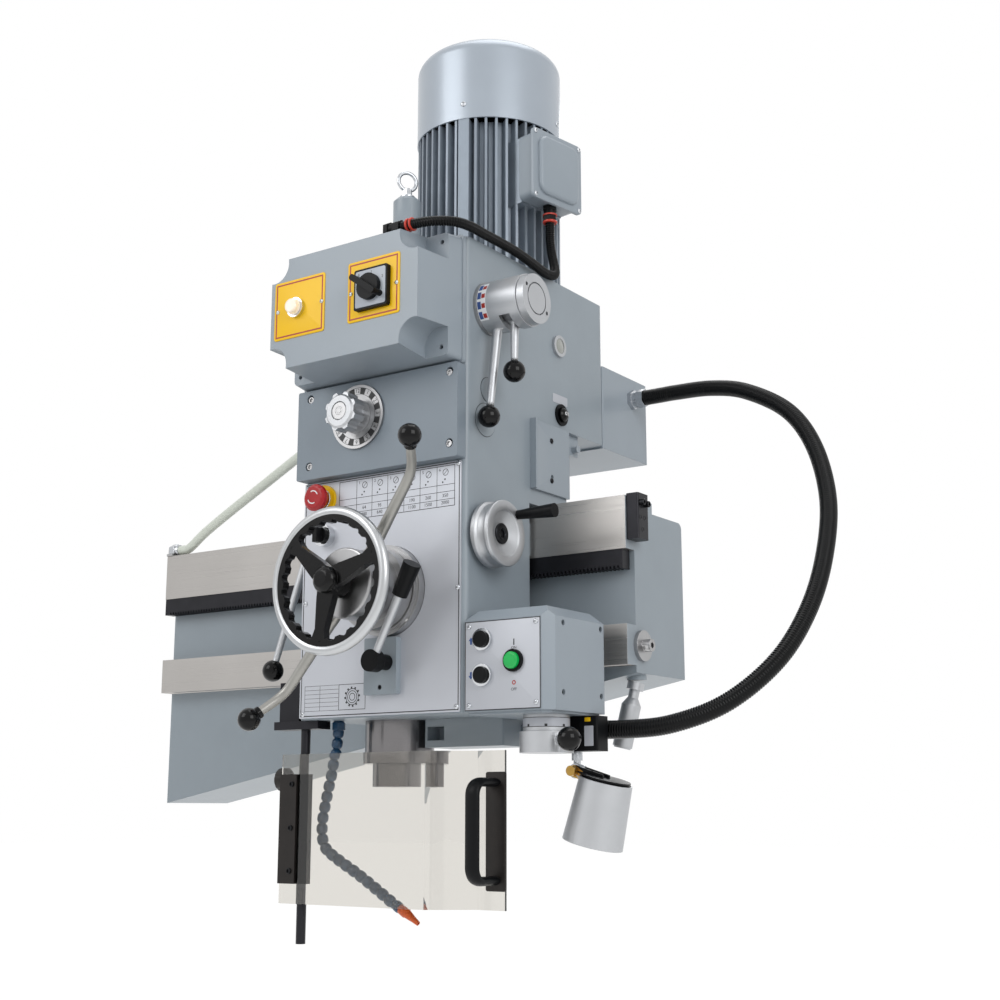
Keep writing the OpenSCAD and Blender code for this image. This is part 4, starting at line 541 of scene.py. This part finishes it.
# The handwheel's rim is polished aluminium that hands have kept bright.
rim_aluminium = surface("polished aluminium", "#b4b6b8", 0.33, 0.95, cloud=(25, 0.03),
                        grain=(1.0, 0.008))
# Glossy stove enamel with slight runs on the wheel's spider.
black_enamel = surface("glossy black enamel", "#070708", 0.20, cloud=(30, 0.2), grain=(5.0, 0.16),
                       edge=1.0, more={"Specular IOR Level": 0.22})
# Pressed phenolic of ball knobs: near mirror gloss.
phenolic = surface("black phenolic", "#060607", 0.10, cloud=(20, 0.15), grain=(6.0, 0.01),
                   more={"IOR": 1.6, "Specular IOR Level": 0.15})
# Moulded nylon of knobs, handles and grips: a fine spark-eroded texture.
black_nylon = surface("moulded black nylon", "#0d0e10", 0.40, cloud=(15, 0.12), grain=(0.7, 0.03),
                      edge=0.7, more={"Specular IOR Level": 0.13})
# Red glossy thermoplastic of the mushroom button.
red_plastic = surface("red gloss plastic", "#a81019", 0.24, cloud=(20, 0.06), grain=(6.0, 0.01),
                      more={"Coat Weight": 0.2, "Coat Roughness": 0.12, "Specular IOR Level": 0.3})
# Green lamp cap with the bulb's light behind it.
green_plastic = surface("green lit cap", "#0a9a44", 0.25, cloud=(12, 0.1), grain=(1.5, 0.02),
                        more={"Emission Color": linear("#0fae52"), "Emission Strength": 0.25})
# Milky cap of the pilot lamp, a little light coming through.
milky_cap = surface("milky lamp cap", "#f6e9d6", 0.16, cloud=(9, 0.06), more={
    "Subsurface Weight": 0.35, "Subsurface Radius": (0.004, 0.003, 0.002), "Subsurface Scale": 1.0,
    "Emission Color": linear("#ffe3c2"), "Emission Strength": 0.12, "Coat Weight": 0.5})
# Blue acetal of the jointed coolant line, and orange for its tip.
blue_acetal = surface("blue acetal", "#103b5a", 0.34, cloud=(10, 0.12), grain=(1.2, 0.02),
                      edge=0.5)
orange_acetal = surface("orange acetal", "#cf560f", 0.34, cloud=(10, 0.1), grain=(1.2, 0.02),
                        edge=0.5)
# Clear polycarbonate sheet: nearly colourless, warm at the edges.
clear_sheet = surface("clear polycarbonate", "#dcd9d3", 0.03, cloud=(200, 0.01), more={
    "Transmission Weight": 1.0, "IOR": 1.58, "Specular IOR Level": 0.12})
# Corrugated nylon conduit: black and slick, so every rib has its own glint.
conduit_nylon = surface("corrugated nylon", "#070809", 0.26, cloud=(12, 0.15), grain=(1.0, 0.01),
                        more={"Specular IOR Level": 0.15})
# Pale PVC tube with the coolant's green in it.
pale_pvc = surface("pale soft PVC", "#dde3d8", 0.30, cloud=(90, 0.01), grain=(4.0, 0.005), more={
    "Transmission Weight": 0.1, "IOR": 1.53})
# Moulded rubber seals of the conduit's glands.
red_seal = surface("red sealing ring", "#c03a2a", 0.40, cloud=(6, 0.1), grain=(1.0, 0.02))
# Printed plastic and aluminium sheets, and their inks.
yellow_sheet = surface("yellow printed sheet", "#f4c206", 0.34, cloud=(50, 0.02),
                       grain=(2.0, 0.006), more={"Specular IOR Level": 0.3})
red_ink = surface("dark red ink", "#a32a1c", 0.42, cloud=(8, 0.06))
black_ink = surface("black ink", "#17181a", 0.45, cloud=(8, 0.08))
blue_ink = surface("blue ink", "#33518d", 0.45, cloud=(8, 0.06))
white_ink = surface("white ink", "#e9eaec", 0.42, cloud=(8, 0.02))
grey_sheet = surface("grey printed sheet", "#a9b0ba", 0.36, cloud=(30, 0.02), grain=(1.5, 0.006))
button_sheet = surface("pale printed sheet", "#b9bcc3", 0.40, 0.2, cloud=(60, 0.02),
                       marks=((40, 0.5, 0.5), 0.001, 0.04))
# Bare brass of the lamp's thumb screw.
brass = surface("brass", "#b08d4c", 0.28, 1.0, cloud=(6, 0.08), edge=0.3)
# Raw steel edge of the hinge plate, blackened and a little brown.
brown_oxide = surface("brown-black steel", "#1f1b19", 0.42, 0.5, cloud=(20, 0.15),
                      grain=(0.9, 0.02), edge=0.8)
# Glass of the oil level, grey from the oil behind it.
glass_disc = surface("sight glass", "#8d908a", 0.05, cloud=(12, 0.1), more={"Coat Weight": 1.0})


# Cords


# Rings along a corrugated cord for each of its ribs.
STEPS_PER_RIB = 6


def ribbed(line, crest, groove, ribs):
    """Radii for a corrugated tube: groove + (crest - groove) (0.5 - 0.5 cos 2 pi k s)^0.6, with k
    ribs over the length s."""
    s = np.linspace(0, 1, len(line))
    return groove + (crest - groove) * (0.5 - 0.5 * np.cos(2 * np.pi * ribs * s)) ** 0.6


def set_power_hose():
    """The thick corrugated hose, from the gland on the rear box to the gland under the button box."""
    route = [(26, 474, 546), (54, 474, 546), (84, 474, 546), (150, 468, 541), (220, 450, 520),
             (300, 424, 470), (352, 396, 400), (384, 360, 310), (392, 316, 220), (384, 270, 140),
             (356, 226, 70), (300, 186, 14), (230, 160, -14), (160, 150, -20), (84, 148, -18),
             (54, 148, -18), (27, 148, -18)]
    ribs = 300
    line = smooth_line(route, ribs * STEPS_PER_RIB + 1)
    hose = piece("power_hose_ribbed", [tube(line, ribbed(line, 12.9, 12.1, ribs), 20)],
                 conduit_nylon, None, ("power_hose",), 60)
    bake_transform(hose)


def set_motor_conduit():
    """The thin corrugated conduit from the control box's top to the motor's terminal box."""
    route = [(-64, -70, 687), (-49, -70, 687), (-42, -70, 687), (-18, -62, 688), (4, -40, 690),
             (12, -10, 691), (12, 30, 691), (12, 70, 691), (12, 110, 690), (13, 150, 685),
             (12, 190, 681), (8, 220, 688), (-2, 238, 706), (-11, 244, 734), (-14, 244, 757),
             (-14, 244, 773), (-14, 244, 788)]
    ribs = 125
    line = smooth_line(route, ribs * STEPS_PER_RIB + 1)
    conduit = piece("motor_conduit_ribbed", [tube(line, ribbed(line, 7.5, 6.4, ribs), 18)],
                    conduit_nylon, "head", ("motor_conduit",), 60)


def set_coolant_hose():
    """The pale tube from the head's left side to the hexagon union on the arm."""
    route = [(-312, 91, 450), (-328, 91, 450), (-338, 91, 450), (-380, 98, 440), (-440, 112, 422),
             (-510, 128, 400), (-597, 148, 373), (-680, 168, 346), (-722, 179, 329),
             (-738, 182, 323), (-746, 182, 323), (-762, 182, 323)]
    line = smooth_line(route, 121)
    feed = piece("coolant_tube", [tube(line, 8.0, 24)], pale_pvc, None,
                 ("coolant_hose",))
    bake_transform(feed)
    rows = [(11, 1), (12, 1.6), (12, 12.4), (11, 13), (9.6, 13.2), (9.6, 19), (9.0, 20), (8.4, 20)]
    union = piece("coolant_union", [turned(rows, (0, -85.5, 232.1), X, 24, Z,
                                           [6, 6, 6, 6, 0, 0, 0, 0])],
                  screw_zinc, "arm", origin=ARM)


# CAD pieces with their finishes


def near(point, reach):
    """True for the face middles within reach of a point."""
    return lambda p: np.linalg.norm(p - point, axis=1) < reach


def ways(p):
    """True on the two ground ways of the arm's front, by the arm's own X, Y and Z."""
    x, y, z = (p + HEAD).T
    return (x < 931.5) & (y < -18) & (z < 222) & ((z > 143.9) | ((z > -20.2) & (z < 37.2)))


def dress_castings():
    """Castings, covers and plates, each in its own enamel."""
    for node in ("head_casting", "clamp_bracket"):
        dressed(node, casting_enamel)
    dressed("arm_casting", casting_enamel, [(ground_steel, ways)])
    for node in ("control_box", "side_cover", "rear_box", "button_box"):
        dressed(node, cover_enamel)
    dressed("gear_panel", panel_enamel)
    dressed("motor_frame", motor_enamel)
    dressed("motor_cowl", cowl_lacquer)
    dressed("name_plate", plate_anodised)


def dress_metal():
    """Racks, stops, shafts, gears, turned parts, and the rings and glands of the fittings."""
    dressed("traverse_rack", black_oxide)
    union = lambda p: p[:, 0] + HEAD[0] < 60
    washer = lambda p: (p[:, 2] + HEAD[2] < 60) & (p[:, 0] + HEAD[0] > 900)
    dressed("end_stops", black_oxide,
            [(turned_front, union), (turned_front, washer)])
    dressed("arm_handle", satin_aluminium)
    # These turned parts take the darkened steel colour, a painted dark reflection.
    for node in ("quill", "spindle", "spindle_bearings", "traverse_shaft", "cluster_gear",
                 "sleeve_gear", "gear_bearings", "motor_rotor"):
        dressed(node, turned_steel_painted_dark)
    for node, finish, slot in (("capstan_hub", turned_front, "satin_aluminium"),
                               ("direction_base", satin_aluminium, "satin_aluminium"),
                               ("scale_rings", turned_front, "satin_aluminium"),
                               ("lifting_eye", screw_zinc, "chrome_rings"),
                               ("sight_glass", satin_aluminium, "satin_aluminium"),
                               ("handwheel_rim", rim_aluminium, "satin_aluminium"),
                               ("handwheel_spider", black_enamel, "black_enamel"),
                               ("dial_knob", satin_aluminium, "satin_aluminium"),
                               ("guard_rod", black_oxide, "black_steel"),
                               ("guard_bracket", black_oxide, "black_steel"),
                               ("lamp_bracket", black_nylon, "black_plastic"),
                               ("lamp_arm", screw_zinc, "chrome_rings")):
        dressed(node, finish)
    upper_glands = lambda p: p[:, 2] > 600
    dressed("cable_glands", screw_zinc, [(black_nylon, upper_glands)])
    switch_rim = lambda p: (np.abs(p[:, 0] + 90) < 31) & (p[:, 1] < -97) & (
        np.abs(p[:, 2] - 591) < 31)
    dressed("button_bezels", chrome, [
        (black_nylon, switch_rim), (black_nylon, near(DOME, 24)),
        (black_nylon, near((82, -5, 66), 22)), (yellow_sheet, near(ESTOP + 4 * FRONT, 26))])


def set_capstan_levers():
    """Two bent bars on the hub, half a turn apart, each with a 32 mm ball knob. A bar's stations
    and its knob's middle are given by their distances from the hub's axis and the head's front."""
    knob, knob_reach, knob_out = 16, 228, 132
    stations = ((24, 80), (42, 80), (60, 80.3), (100, 83.4), (140, 86.6), (162, 88.4), (178, 91.5),
                (192, 99.5), (206, 112), (217, 122), (223, 127.5))
    steps = 61
    radii = np.interp(np.linspace(0, 1, steps), (0, 0.16, 0.2, 0.75, 1), (9.2, 9.2, 8.4, 7.0, 6.2))
    ball = [(6.3, -19.5), (8.2, -19.2), (8.7, -18.6), (8.7, -13.4)] + [
        (knob * math.cos(t), knob * math.sin(t)) for t in np.radians(np.linspace(-57, 88, 22))]
    for k, turn in enumerate((37, 217), 1):
        along = math.sin(math.radians(turn)) * X + math.cos(math.radians(turn)) * Z
        line = smooth_line([CAPSTAN + r * along + out * FRONT for r, out in stations], steps)
        end = CAPSTAN + knob_reach * along + knob_out * FRONT
        piece(f"capstan_lever_{k}", [tube(line, radii, 28)], lever_steel, "capstan",
              ("capstan_levers",), 50)
        piece(f"capstan_ball_{k}", [turned(ball, end, end - line[-8], 40)], phenolic,
              "capstan")


def dress_controls():
    """Levers, knobs, buttons and the guard."""
    from_clamp = lambda p: np.hypot(p[:, 0] + 127, p[:, 2] - 74)
    dressed("clamp_lever", black_nylon, [
        (satin_aluminium, lambda p: (from_clamp(p) > 16) & (from_clamp(p) < 101))])
    for node, ball, reach in (("side_lever", (-362, 9, 76), 16.5),
                              ("gear_lever_long", (20, 27, 416), 19),
                              ("gear_lever_short", (50, 47, 482), 19)):
        dressed(node, satin_aluminium, [(phenolic, near(ball, reach))])
    dressed("fine_wheel_grip", black_nylon, [
        (turned_steel_painted_dark, lambda p: p[:, 0] < 35.5)])
    dressed("direction_knob", satin_aluminium, [
        (phenolic, near((147.4, 28, -37), 16.5))])
    for node in ("switch_knob", "selector_knob", "up_button", "down_button"):
        dressed(node, black_nylon)
    dressed("dome_button", phenolic)
    dressed("light_button", green_plastic)
    dressed("guard_shield", clear_sheet)
    dressed("guard_hinge", brown_oxide, without=lambda p: p[:, 0] > -100)
    dressed("estop_button", red_plastic, [(chrome, lambda p: p[:, 1] > -13.5)])


def dress_lamp():
    """The lamp's head: satin cap, black socket, zinc hinge with its brass thumb screw."""
    top, down = np.array([150, 118, -86]), np.array([-0.2588, 0, -0.9659])
    from_hinge = lambda p: np.hypot(p[:, 0] - 104, p[:, 2] + 76)

    def socket(p):
        """The cap's first 3.9 mm below its top, and the neck down to 19 mm."""
        t = (p - top) @ down
        from_axis = np.linalg.norm(p - top - t[:, None] * down, axis=1)
        return ((t < 3.9) | ((from_axis < 34.2) & (t < 19))) & (p[:, 0] > 112)

    dressed("lamp_head", satin_aluminium, [
        (black_nylon, socket), (screw_zinc, lambda p: from_hinge(p) < 9),
        (brass, lambda p: (from_hinge(p) < 9.5) & (p[:, 1] < 110))])


# Plates, prints, screws and small fittings


def set_box_sheets():
    """The control box's two yellow sheets and the rotary switch's face, with their marks."""
    box, thick, margin = 98, 1.4, 4.5
    plates, lines = [], []
    for x0, x1, z0, z1 in ((-279, -182, 547, 636), (-138, -44, 548, 638)):
        plates.append(sheet(x0, x1, z0, z1, -box, 4, thick, 0.5))
        lines += framed(x0 + margin, z0 + margin, x1 - margin, z1 - margin, 2.2, -box - thick)
    piece("yellow_plates", plates, yellow_sheet, "head")
    piece("yellow_plate_lines", lines, red_ink, "head")
    piece("switch_face", [sheet(-117, -63, 564, 618, -107, 3, 0.8, 0.3)], grey_sheet, "head")
    marks = [printed(word, 6, (x, -107.8, z)) for word, x, z in
             (("0", -111, 612), ("1", -88, 613), ("2", -68, 603))]
    piece("switch_marks", marks, black_ink, "head")


def set_front_screws():
    """Screws of the yellow sheets, name plate, button plate, box, clamp bracket and gear panel."""
    zinc = [cross_screw((x, -99.4, z), FRONT, 6.5) for x, z in
            ((-272, 591), (-187, 592), (-132, 591), (-49, 592))]
    zinc += [cross_screw((x, -2, z), FRONT, 7.5) for x, z in
             ((-12, 347), (-12, 172), (-13, 9), (-290, 344), (-290, 170), (-290, 8))]
    zinc += [cross_screw((x, -3.2, z), FRONT, 7.0) for x, z in
             ((9, 115), (117, 116), (117, 10), (9, 9))]
    piece("front_screws", zinc, screw_zinc, "head")
    dark = [socket_screw((x, -27, z), FRONT, 6.6, 3) for x in (-282, -18) for z in (509, 665)]
    dark += [socket_screw((-139, -9.6, 40), FRONT, 6.6, 2)]
    piece("front_cap_screws", dark, screw_black, "head")
    grey = [socket_screw((x, -15, z), FRONT, 11, 3.5) for x in (-275, -17) for z in (373, 476)]
    piece("panel_cap_screws", grey, turned_front, "head")


def set_name_plate():
    """The plate's black lines, its table of plain numbers and the small diagram at its foot."""
    y = -2.0
    lines = framed(-294, 5, -10, 349, 1.4, y)
    lines += framed(-229, 288, -18, 346, 0.9, y)
    columns = (-196, -167, -138, -108, -79, -49)
    lines += [strip((x, 288), (x, 346), 0.7, y) for x in columns]
    lines += [strip((-229, z), (-18, z), 0.7, y) for z in (319, 309, 298)]
    dots = []
    for x in columns:
        lines.append(flat_ring((x + 15, y, 337), FRONT, X, 4.2, 5.0))
        lines.append(strip((x + 12, 334), (x + 18, 340), 0.6, y))
        dots += [flat_ring((x + 10 + step, y, 323 + step), FRONT, X, 0.15, 1.3, n=12)
                 for step in (0, 4)]
    lines += framed(-222, 12, -173, 48, 0.8, y)
    lines += [strip((-287, z), (-223, z), 0.5, y) for z in range(12, 50, 6)]
    lines += [strip((x, 12), (x, 48), 0.5, y) for x in (-287, -258)]
    diagram = (-197, y, 30)
    lines += [flat_ring(diagram, FRONT, X, r, r + 1) for r in (4.5, 8.0, 11.0)]
    lines += [arc_bar(diagram, 12, 14.5, a, a + 12) for a in range(0, 360, 30)]
    speeds = (64, 95, 130, 190, 260, 350, 480, 640, 840, 1100, 1500, 2000)
    words = [printed(str(k), 6, (x + 5, y, 341)) for k, x in enumerate(columns, 1)]
    words += [printed(str(n), 7, (columns[k % 6] + 14.5, y, 303.5 - 10 * (k // 6)))
              for k, n in enumerate(speeds)]
    piece("name_plate_print", lines + dots + words, black_ink, "head")


def set_feed_dial():
    """The feed dial's ring of twelve bars and numbers, and its knob's cap."""
    at = FEED_DIAL + 24 * FRONT
    ring = [arc_bar(at, 34, 43, a + 8, a + 22) for a in range(0, 360, 30)]
    ring += [flat_ring(at, FRONT, X, 43.0, 43.7, n=64), flat_ring(at, FRONT, X, 33.4, 34.0, n=64)]
    for number in range(1, 13):
        a = math.radians(90 - 30 * number)
        out = np.array([math.cos(a), 0, math.sin(a)])
        ring.append(printed(str(number), 8.5, at + 38.6 * out, FRONT, out))
    piece("feed_dial_numbers", ring, black_ink, "head")
    rows = [(13.2, -1), (13.2, 1.0), (12.4, 1.8), (6.4, 1.8), (5.8, 1.2), (4.2, 1.2), (3.8, 1.8),
            (0.3, 1.8)]
    piece("feed_knob_cap", [turned(rows, FEED_DIAL + 63 * FRONT, FRONT, 48)], turned_front,
          "feed_dial")


def set_buttons():
    """The emergency stop's collar and arrows, the pilot lamp's cap and the dome button's mark."""
    rows = [(11.8, 4.8), (15.6, 4.8), (15.6, 6.9), (15.0, 7.5), (11.8, 7.5)]
    piece("estop_collar", [turned(rows, ESTOP + 2 * FRONT, FRONT, 40, loop=True)], chrome,
          "head")
    arrows = [arc_bar(ESTOP + 30 * FRONT, 8.6, 10.2, a, a + 95, 0.3) for a in (20, 200)]
    piece("estop_arrows", arrows, white_ink, "estop")
    rows = [(10.6, -9), (10.6, 7.2), (11.8, 7.4), (11.8, 9.2), (11.2, 9.6), (11.2, 14.6),
            (10.0, 16.6), (8.4, 17.0), (8.2, 16.4), (0.4, 16.4)]
    piece("pilot_cap", [turned(rows, PILOT + 98 * FRONT, FRONT, 72, X,
                               [0, 0, 0, 0, 18, 18, 18, 0, 0, 0])],
          milky_cap, "head", ("pilot_lamp",), sharp=12)
    piece("dome_mark", [printed("0/1", 8.5, DOME + 11.6 * X, X, Z, 0.7)], white_ink, "dome_push")


def set_button_plate():
    """The pale sheet under the three push buttons, with plain marks."""
    piece("button_sheet", [sheet(2.5, 123.5, 2.5, 121.5, -2, 2, 1.2, 0.3)], button_sheet, "head")
    y = -3.2
    ink = framed(2.6, 2.6, 123.4, 121.4, 1.2, y)
    ink += [strip((82, 86.5), (82, 95), 1.8, y)]
    ink += [printed("ON", 5.4, (82, y, 83)), printed("OFF", 5.4, (82, y, 28))]
    piece("button_marks", ink, black_ink, "head")
    piece("button_off_ring", [flat_ring((82, y, 37), FRONT, X, 1.6, 3.0)], red_ink, "head")
    arrow = np.array([(-1.6, -5), (1.6, -5), (1.6, 0), (4, 0), (0, 5), (-4, 0), (-1.6, 0)])
    arrows = [slab(arrow[::way] * (1, way), (12, y, z), FRONT, X, -INK, INK)
              for way, z in ((1, 96), (-1, 49))]
    piece("button_arrows", arrows, blue_ink, "head")


def set_right_side():
    """Plugs, a small sheet and screws on the head's right face, with a dark ring of painted shade
    round each plug where its groove is.
    """
    plugs, groove_shade_rings = [], []
    for y, z, r in ((53, 464, 18), (46, 418, 24)):
        rows = [(r, -0.5), (r, 0.7), (r - 0.9, 1.2), (0.4, 1.2)]
        plugs.append(turned(rows, (0, y, z), X, 56))
        # A thin black ring round the plug: painted shade of the groove between plug and casting.
        groove_shade_rings.append(flat_ring((0, y, z), X, Y, r - 0.2, r + 0.8, 0.15, 56))
    piece("round_plugs", plugs, casting_enamel, "head")
    piece("plug_groove_painted_shade", groove_shade_rings, black_ink, "head")
    piece("small_sheet", [slab(rounded(42, 14, 1.5), (0, 247, 494), X, Y, -0.2, 0.5)], button_sheet,
          "head")
    screws = [cross_screw((5, 214, z), X, 8.5) for z in (421, 359)]
    screws += [socket_screw((132, y, z), X, 7.6, 3) for y in (31, 128) for z in (24, 116)]
    piece("side_screws", screws, screw_black, "head")


def set_fine_wheel():
    """The fine feed wheel, turned with its groove and dish, and the screw in its middle."""
    at = (0, 47, 250)
    rows = [(8, -36), (8, 3), (17, 3), (17, 6), (44, 6), (46.5, 7), (47, 8.5), (47, 13), (46.4, 14),
            (43.6, 16), (43, 17.5), (43, 25), (43.6, 27), (46.2, 29.5), (47, 31), (47, 34.5),
            (46, 35.8), (44.5, 36), (34, 36), (32.8, 35.5), (31.6, 34), (17.5, 27), (0.3, 26.6)]
    piece("fine_wheel_turned", [turned(rows, at, X, 96)], satin_aluminium, "fine_feed",
          ("fine_wheel",), 24)
    rows = [(15, 24), (15, 28.6), (14, 29.6), (8, 30), (7.4, 29.6), (6.6, 28.8), (6.4, 26.9),
            (0.3, 26.9)]
    piece("fine_wheel_screw", [turned(rows, at, X, 40, Y, [0, 0, 0, 0, 0, 6, 6, 0])],
          screw_black, "fine_feed")


def set_lever_bands():
    """The white band round the long gear lever's hub, with four blue and four red blocks."""
    at, blocks = (0, 54, 586), (48, 70, 92, 114)
    blue = [band(at, X, Z, 38.5, 7, 13, a, a + 16) for a in blocks]
    red = [band(at, X, Z, 38.5, 14, 20, a + 5, a + 15) for a in blocks]
    piece("lever_band", [band(at, X, Z, 38.45, 6, 21, 44, 134, 0.15)], white_ink, "long_lever")
    piece("lever_band_blue", blue, blue_ink, "long_lever")
    piece("lever_band_red", red, red_ink, "long_lever")


def set_direction_bands():
    """The direction lever's band with its edges and stepped marks, and its bracket's two labels."""
    at = (92, 60, 0)
    piece("direction_band", [band(at, Z, X, 31.5, -20, -7, -150, 40, 0.2)], button_sheet, "head")
    marks = [band(at, Z, X, 31.6, h, h + 0.8, -150, 40) for h in (-20, -7.8)]
    marks += [band(at, Z, X, 31.6, -19.4, -16 - step, a + 1.3 * step, a + 7 - 1.3 * step)
              for a in (-110, -62, -14) for step in (0, 1, 2)]
    piece("direction_marks", marks, black_ink, "head")
    piece("bracket_sheet", [slab(rounded(14, 27, 1), (133, 102, -30), FRONT, X, -0.2, 0.6)],
          button_sheet, "head")
    piece("bracket_lamp", [slab(rounded(9, 5.5, 1), (131, 102, -8), FRONT, X, -0.2, 0.8, 0.3)],
          yellow_sheet, "head")


def set_arm_screws():
    """Screws of the end block and the rack, on the arm's own body."""
    screws = [socket_screw((952, y, z), X, 9, 7) for y, z in ((-88, 209), (-74, 208))]
    screws += [socket_screw((950.5, y, z), X, 8, 1.9) for y, z in
               ((-88, 188), (-76, 188), (-82, 171))]
    piece("end_block_screws", screws, screw_black, "arm", origin=ARM)


def set_nozzle():
    """The jointed coolant line: a bead's radius is 5.0 + 3.4 (1 - |2s - 1|^3) over its length s."""
    route = [(-262, 46, -10), (-264, 46, -30), (-270, 46, -70), (-280, 46, -110), (-286, 44, -150),
             (-278, 42, -180), (-250, 40, -198), (-215, 40, -216), (-180, 40, -236),
             (-150, 40, -254), (-134, 40, -263)]
    beads = 22
    line = smooth_line(route, beads * 12 + 1)
    s = np.linspace(0, beads, len(line)) % 1
    body = tube(line, 5.0 + 3.4 * (1 - np.abs(2 * s - 1) ** 3), 22)
    rows = [(9, 0), (10, 0.8), (10, 11), (9, 12), (7, 14)]
    joint = turned(rows, (-262, 46, -14), Z, 36, X, [6, 6, 6, 6, 0])
    piece("coolant_line", [body, joint], blue_acetal, "head",
          ("coolant_nozzle",), 40)
    rows = [(6.5, -4), (7.6, -2), (7.6, 8), (6.4, 10), (4.2, 24), (3.2, 33), (2.2, 33), (2.0, 26),
            (0.3, 26)]
    piece("coolant_tip", [turned(rows, route[-1], (30, 0, -19), 32)], orange_acetal, "head",
          sharp=40)


def set_motor():
    """Screws round the cowl's lower edge and the conduit's red seals."""
    screws = []
    for a in np.radians((-75, 15, 105, 195)):
        out = np.array([math.cos(a), math.sin(a), 0])
        screws.append(cross_screw(MOTOR_AXIS + 985 * Z + 119.8 * out, out, 9, 2.4))
    piece("cowl_screws", screws, screw_zinc, "head")
    rows = [(7.2, -1.6), (9.4, -1.6), (9.9, -0.8), (9.9, 0.8), (9.4, 1.6), (7.2, 1.6)]
    seals = [turned(rows, (x, -70, 687), X, 32, loop=True) for x in (-52, -45)]
    rows = [(7.4, -1.8), (11.0, -1.8), (11.6, -0.9), (11.6, 0.9), (11.0, 1.8), (7.4, 1.8)]
    seals.append(turned(rows, (-14, 244, 788.6), Z, 32, loop=True))
    rows = [(9.5, -1.1), (11.5, -1.1), (11.5, 1.1), (9.5, 1.1)]
    seals.append(turned(rows, (-14, 244, 800), Z, 32, loop=True))
    piece("red_seals", seals, red_seal, "head")


def set_terminal_box():
    """The motor's connection box, turned 10 degrees to the front: body, flange and raised lid."""
    turn = math.radians(-10)
    out = np.array([math.cos(turn), math.sin(turn), 0])
    side = np.array([-math.sin(turn), math.cos(turn), 0])
    at = MOTOR_AXIS + 871 * Z + 121 * out
    parts = [slab(rounded(106, 110, 10), at, out, side, 0, 30),
             slab(rounded(114, 118, 8), at, out, side, 29, 34.5, 1.2),
             slab(rounded(90, 98, 17), at, out, side, 34, 41.8, 5.5, 6)]
    piece("terminal_box_shell", parts, cover_enamel, "head", ("terminal_box",), 40)
    screws = [cross_screw(at + 34.5 * out + y * side + z * Z, out, 7.5)
              for y in (-51, 51) for z in (-53, 53)]
    piece("terminal_box_screws", screws, screw_zinc, "head")


def set_guard_handle():
    """The guard's oval bow handle on its plate, and the screws of the hinge plate. The bow is the
    same above and below its middle."""
    x, bend, middle = 12.2, 18, -156
    arc = [(x, 19 - bend * math.sin(t), -109.2 + bend * math.cos(t))
           for t in np.radians(range(0, 91, 10))]
    upper = [(x, 52, -91.2), (x, 35, -91.2)] + arc
    line = np.array(upper + [(x, y, 2 * middle - z) for x, y, z in upper[::-1]])
    plate = slab(rounded(32, 158, 3), (14.2, 55.3, middle), FRONT, X, 0, 4, 0.8)
    piece("guard_handle_plate", [plate], brown_oxide, "guard", ("guard_hinge",))
    piece("guard_handle_bow", [tube(line, 11, 32, 0.56)], black_nylon, "guard",
          sharp=50)
    screws = [socket_screw((x, 9, z), FRONT, 8, 2.4) for x, z in
              ((-317.6, -91), (-318.1, -153.5), (-318.7, -214))]
    piece("hinge_screws", screws, screw_black, "guard")


def set_sight_glass():
    """The oil level's glass in its ring."""
    rows = [(13, 1), (13, 3.8), (12, 4.4), (0.3, 4.6)]
    piece("sight_glass_disc", [turned(rows, (0, 242, 579), X, 40)], glass_disc, "head")


set_camera()
set_world()
set_floor()
set_lights()

set_power_hose()
set_motor_conduit()
set_coolant_hose()

set_box_sheets()
set_front_screws()
set_name_plate()
set_feed_dial()
set_buttons()
set_button_plate()
set_right_side()
set_fine_wheel()
set_lever_bands()
set_direction_bands()
set_arm_screws()
set_nozzle()
set_motor()
set_terminal_box()
set_guard_handle()
set_sight_glass()

dress_castings()
dress_metal()
set_capstan_levers()
dress_controls()
dress_lamp()
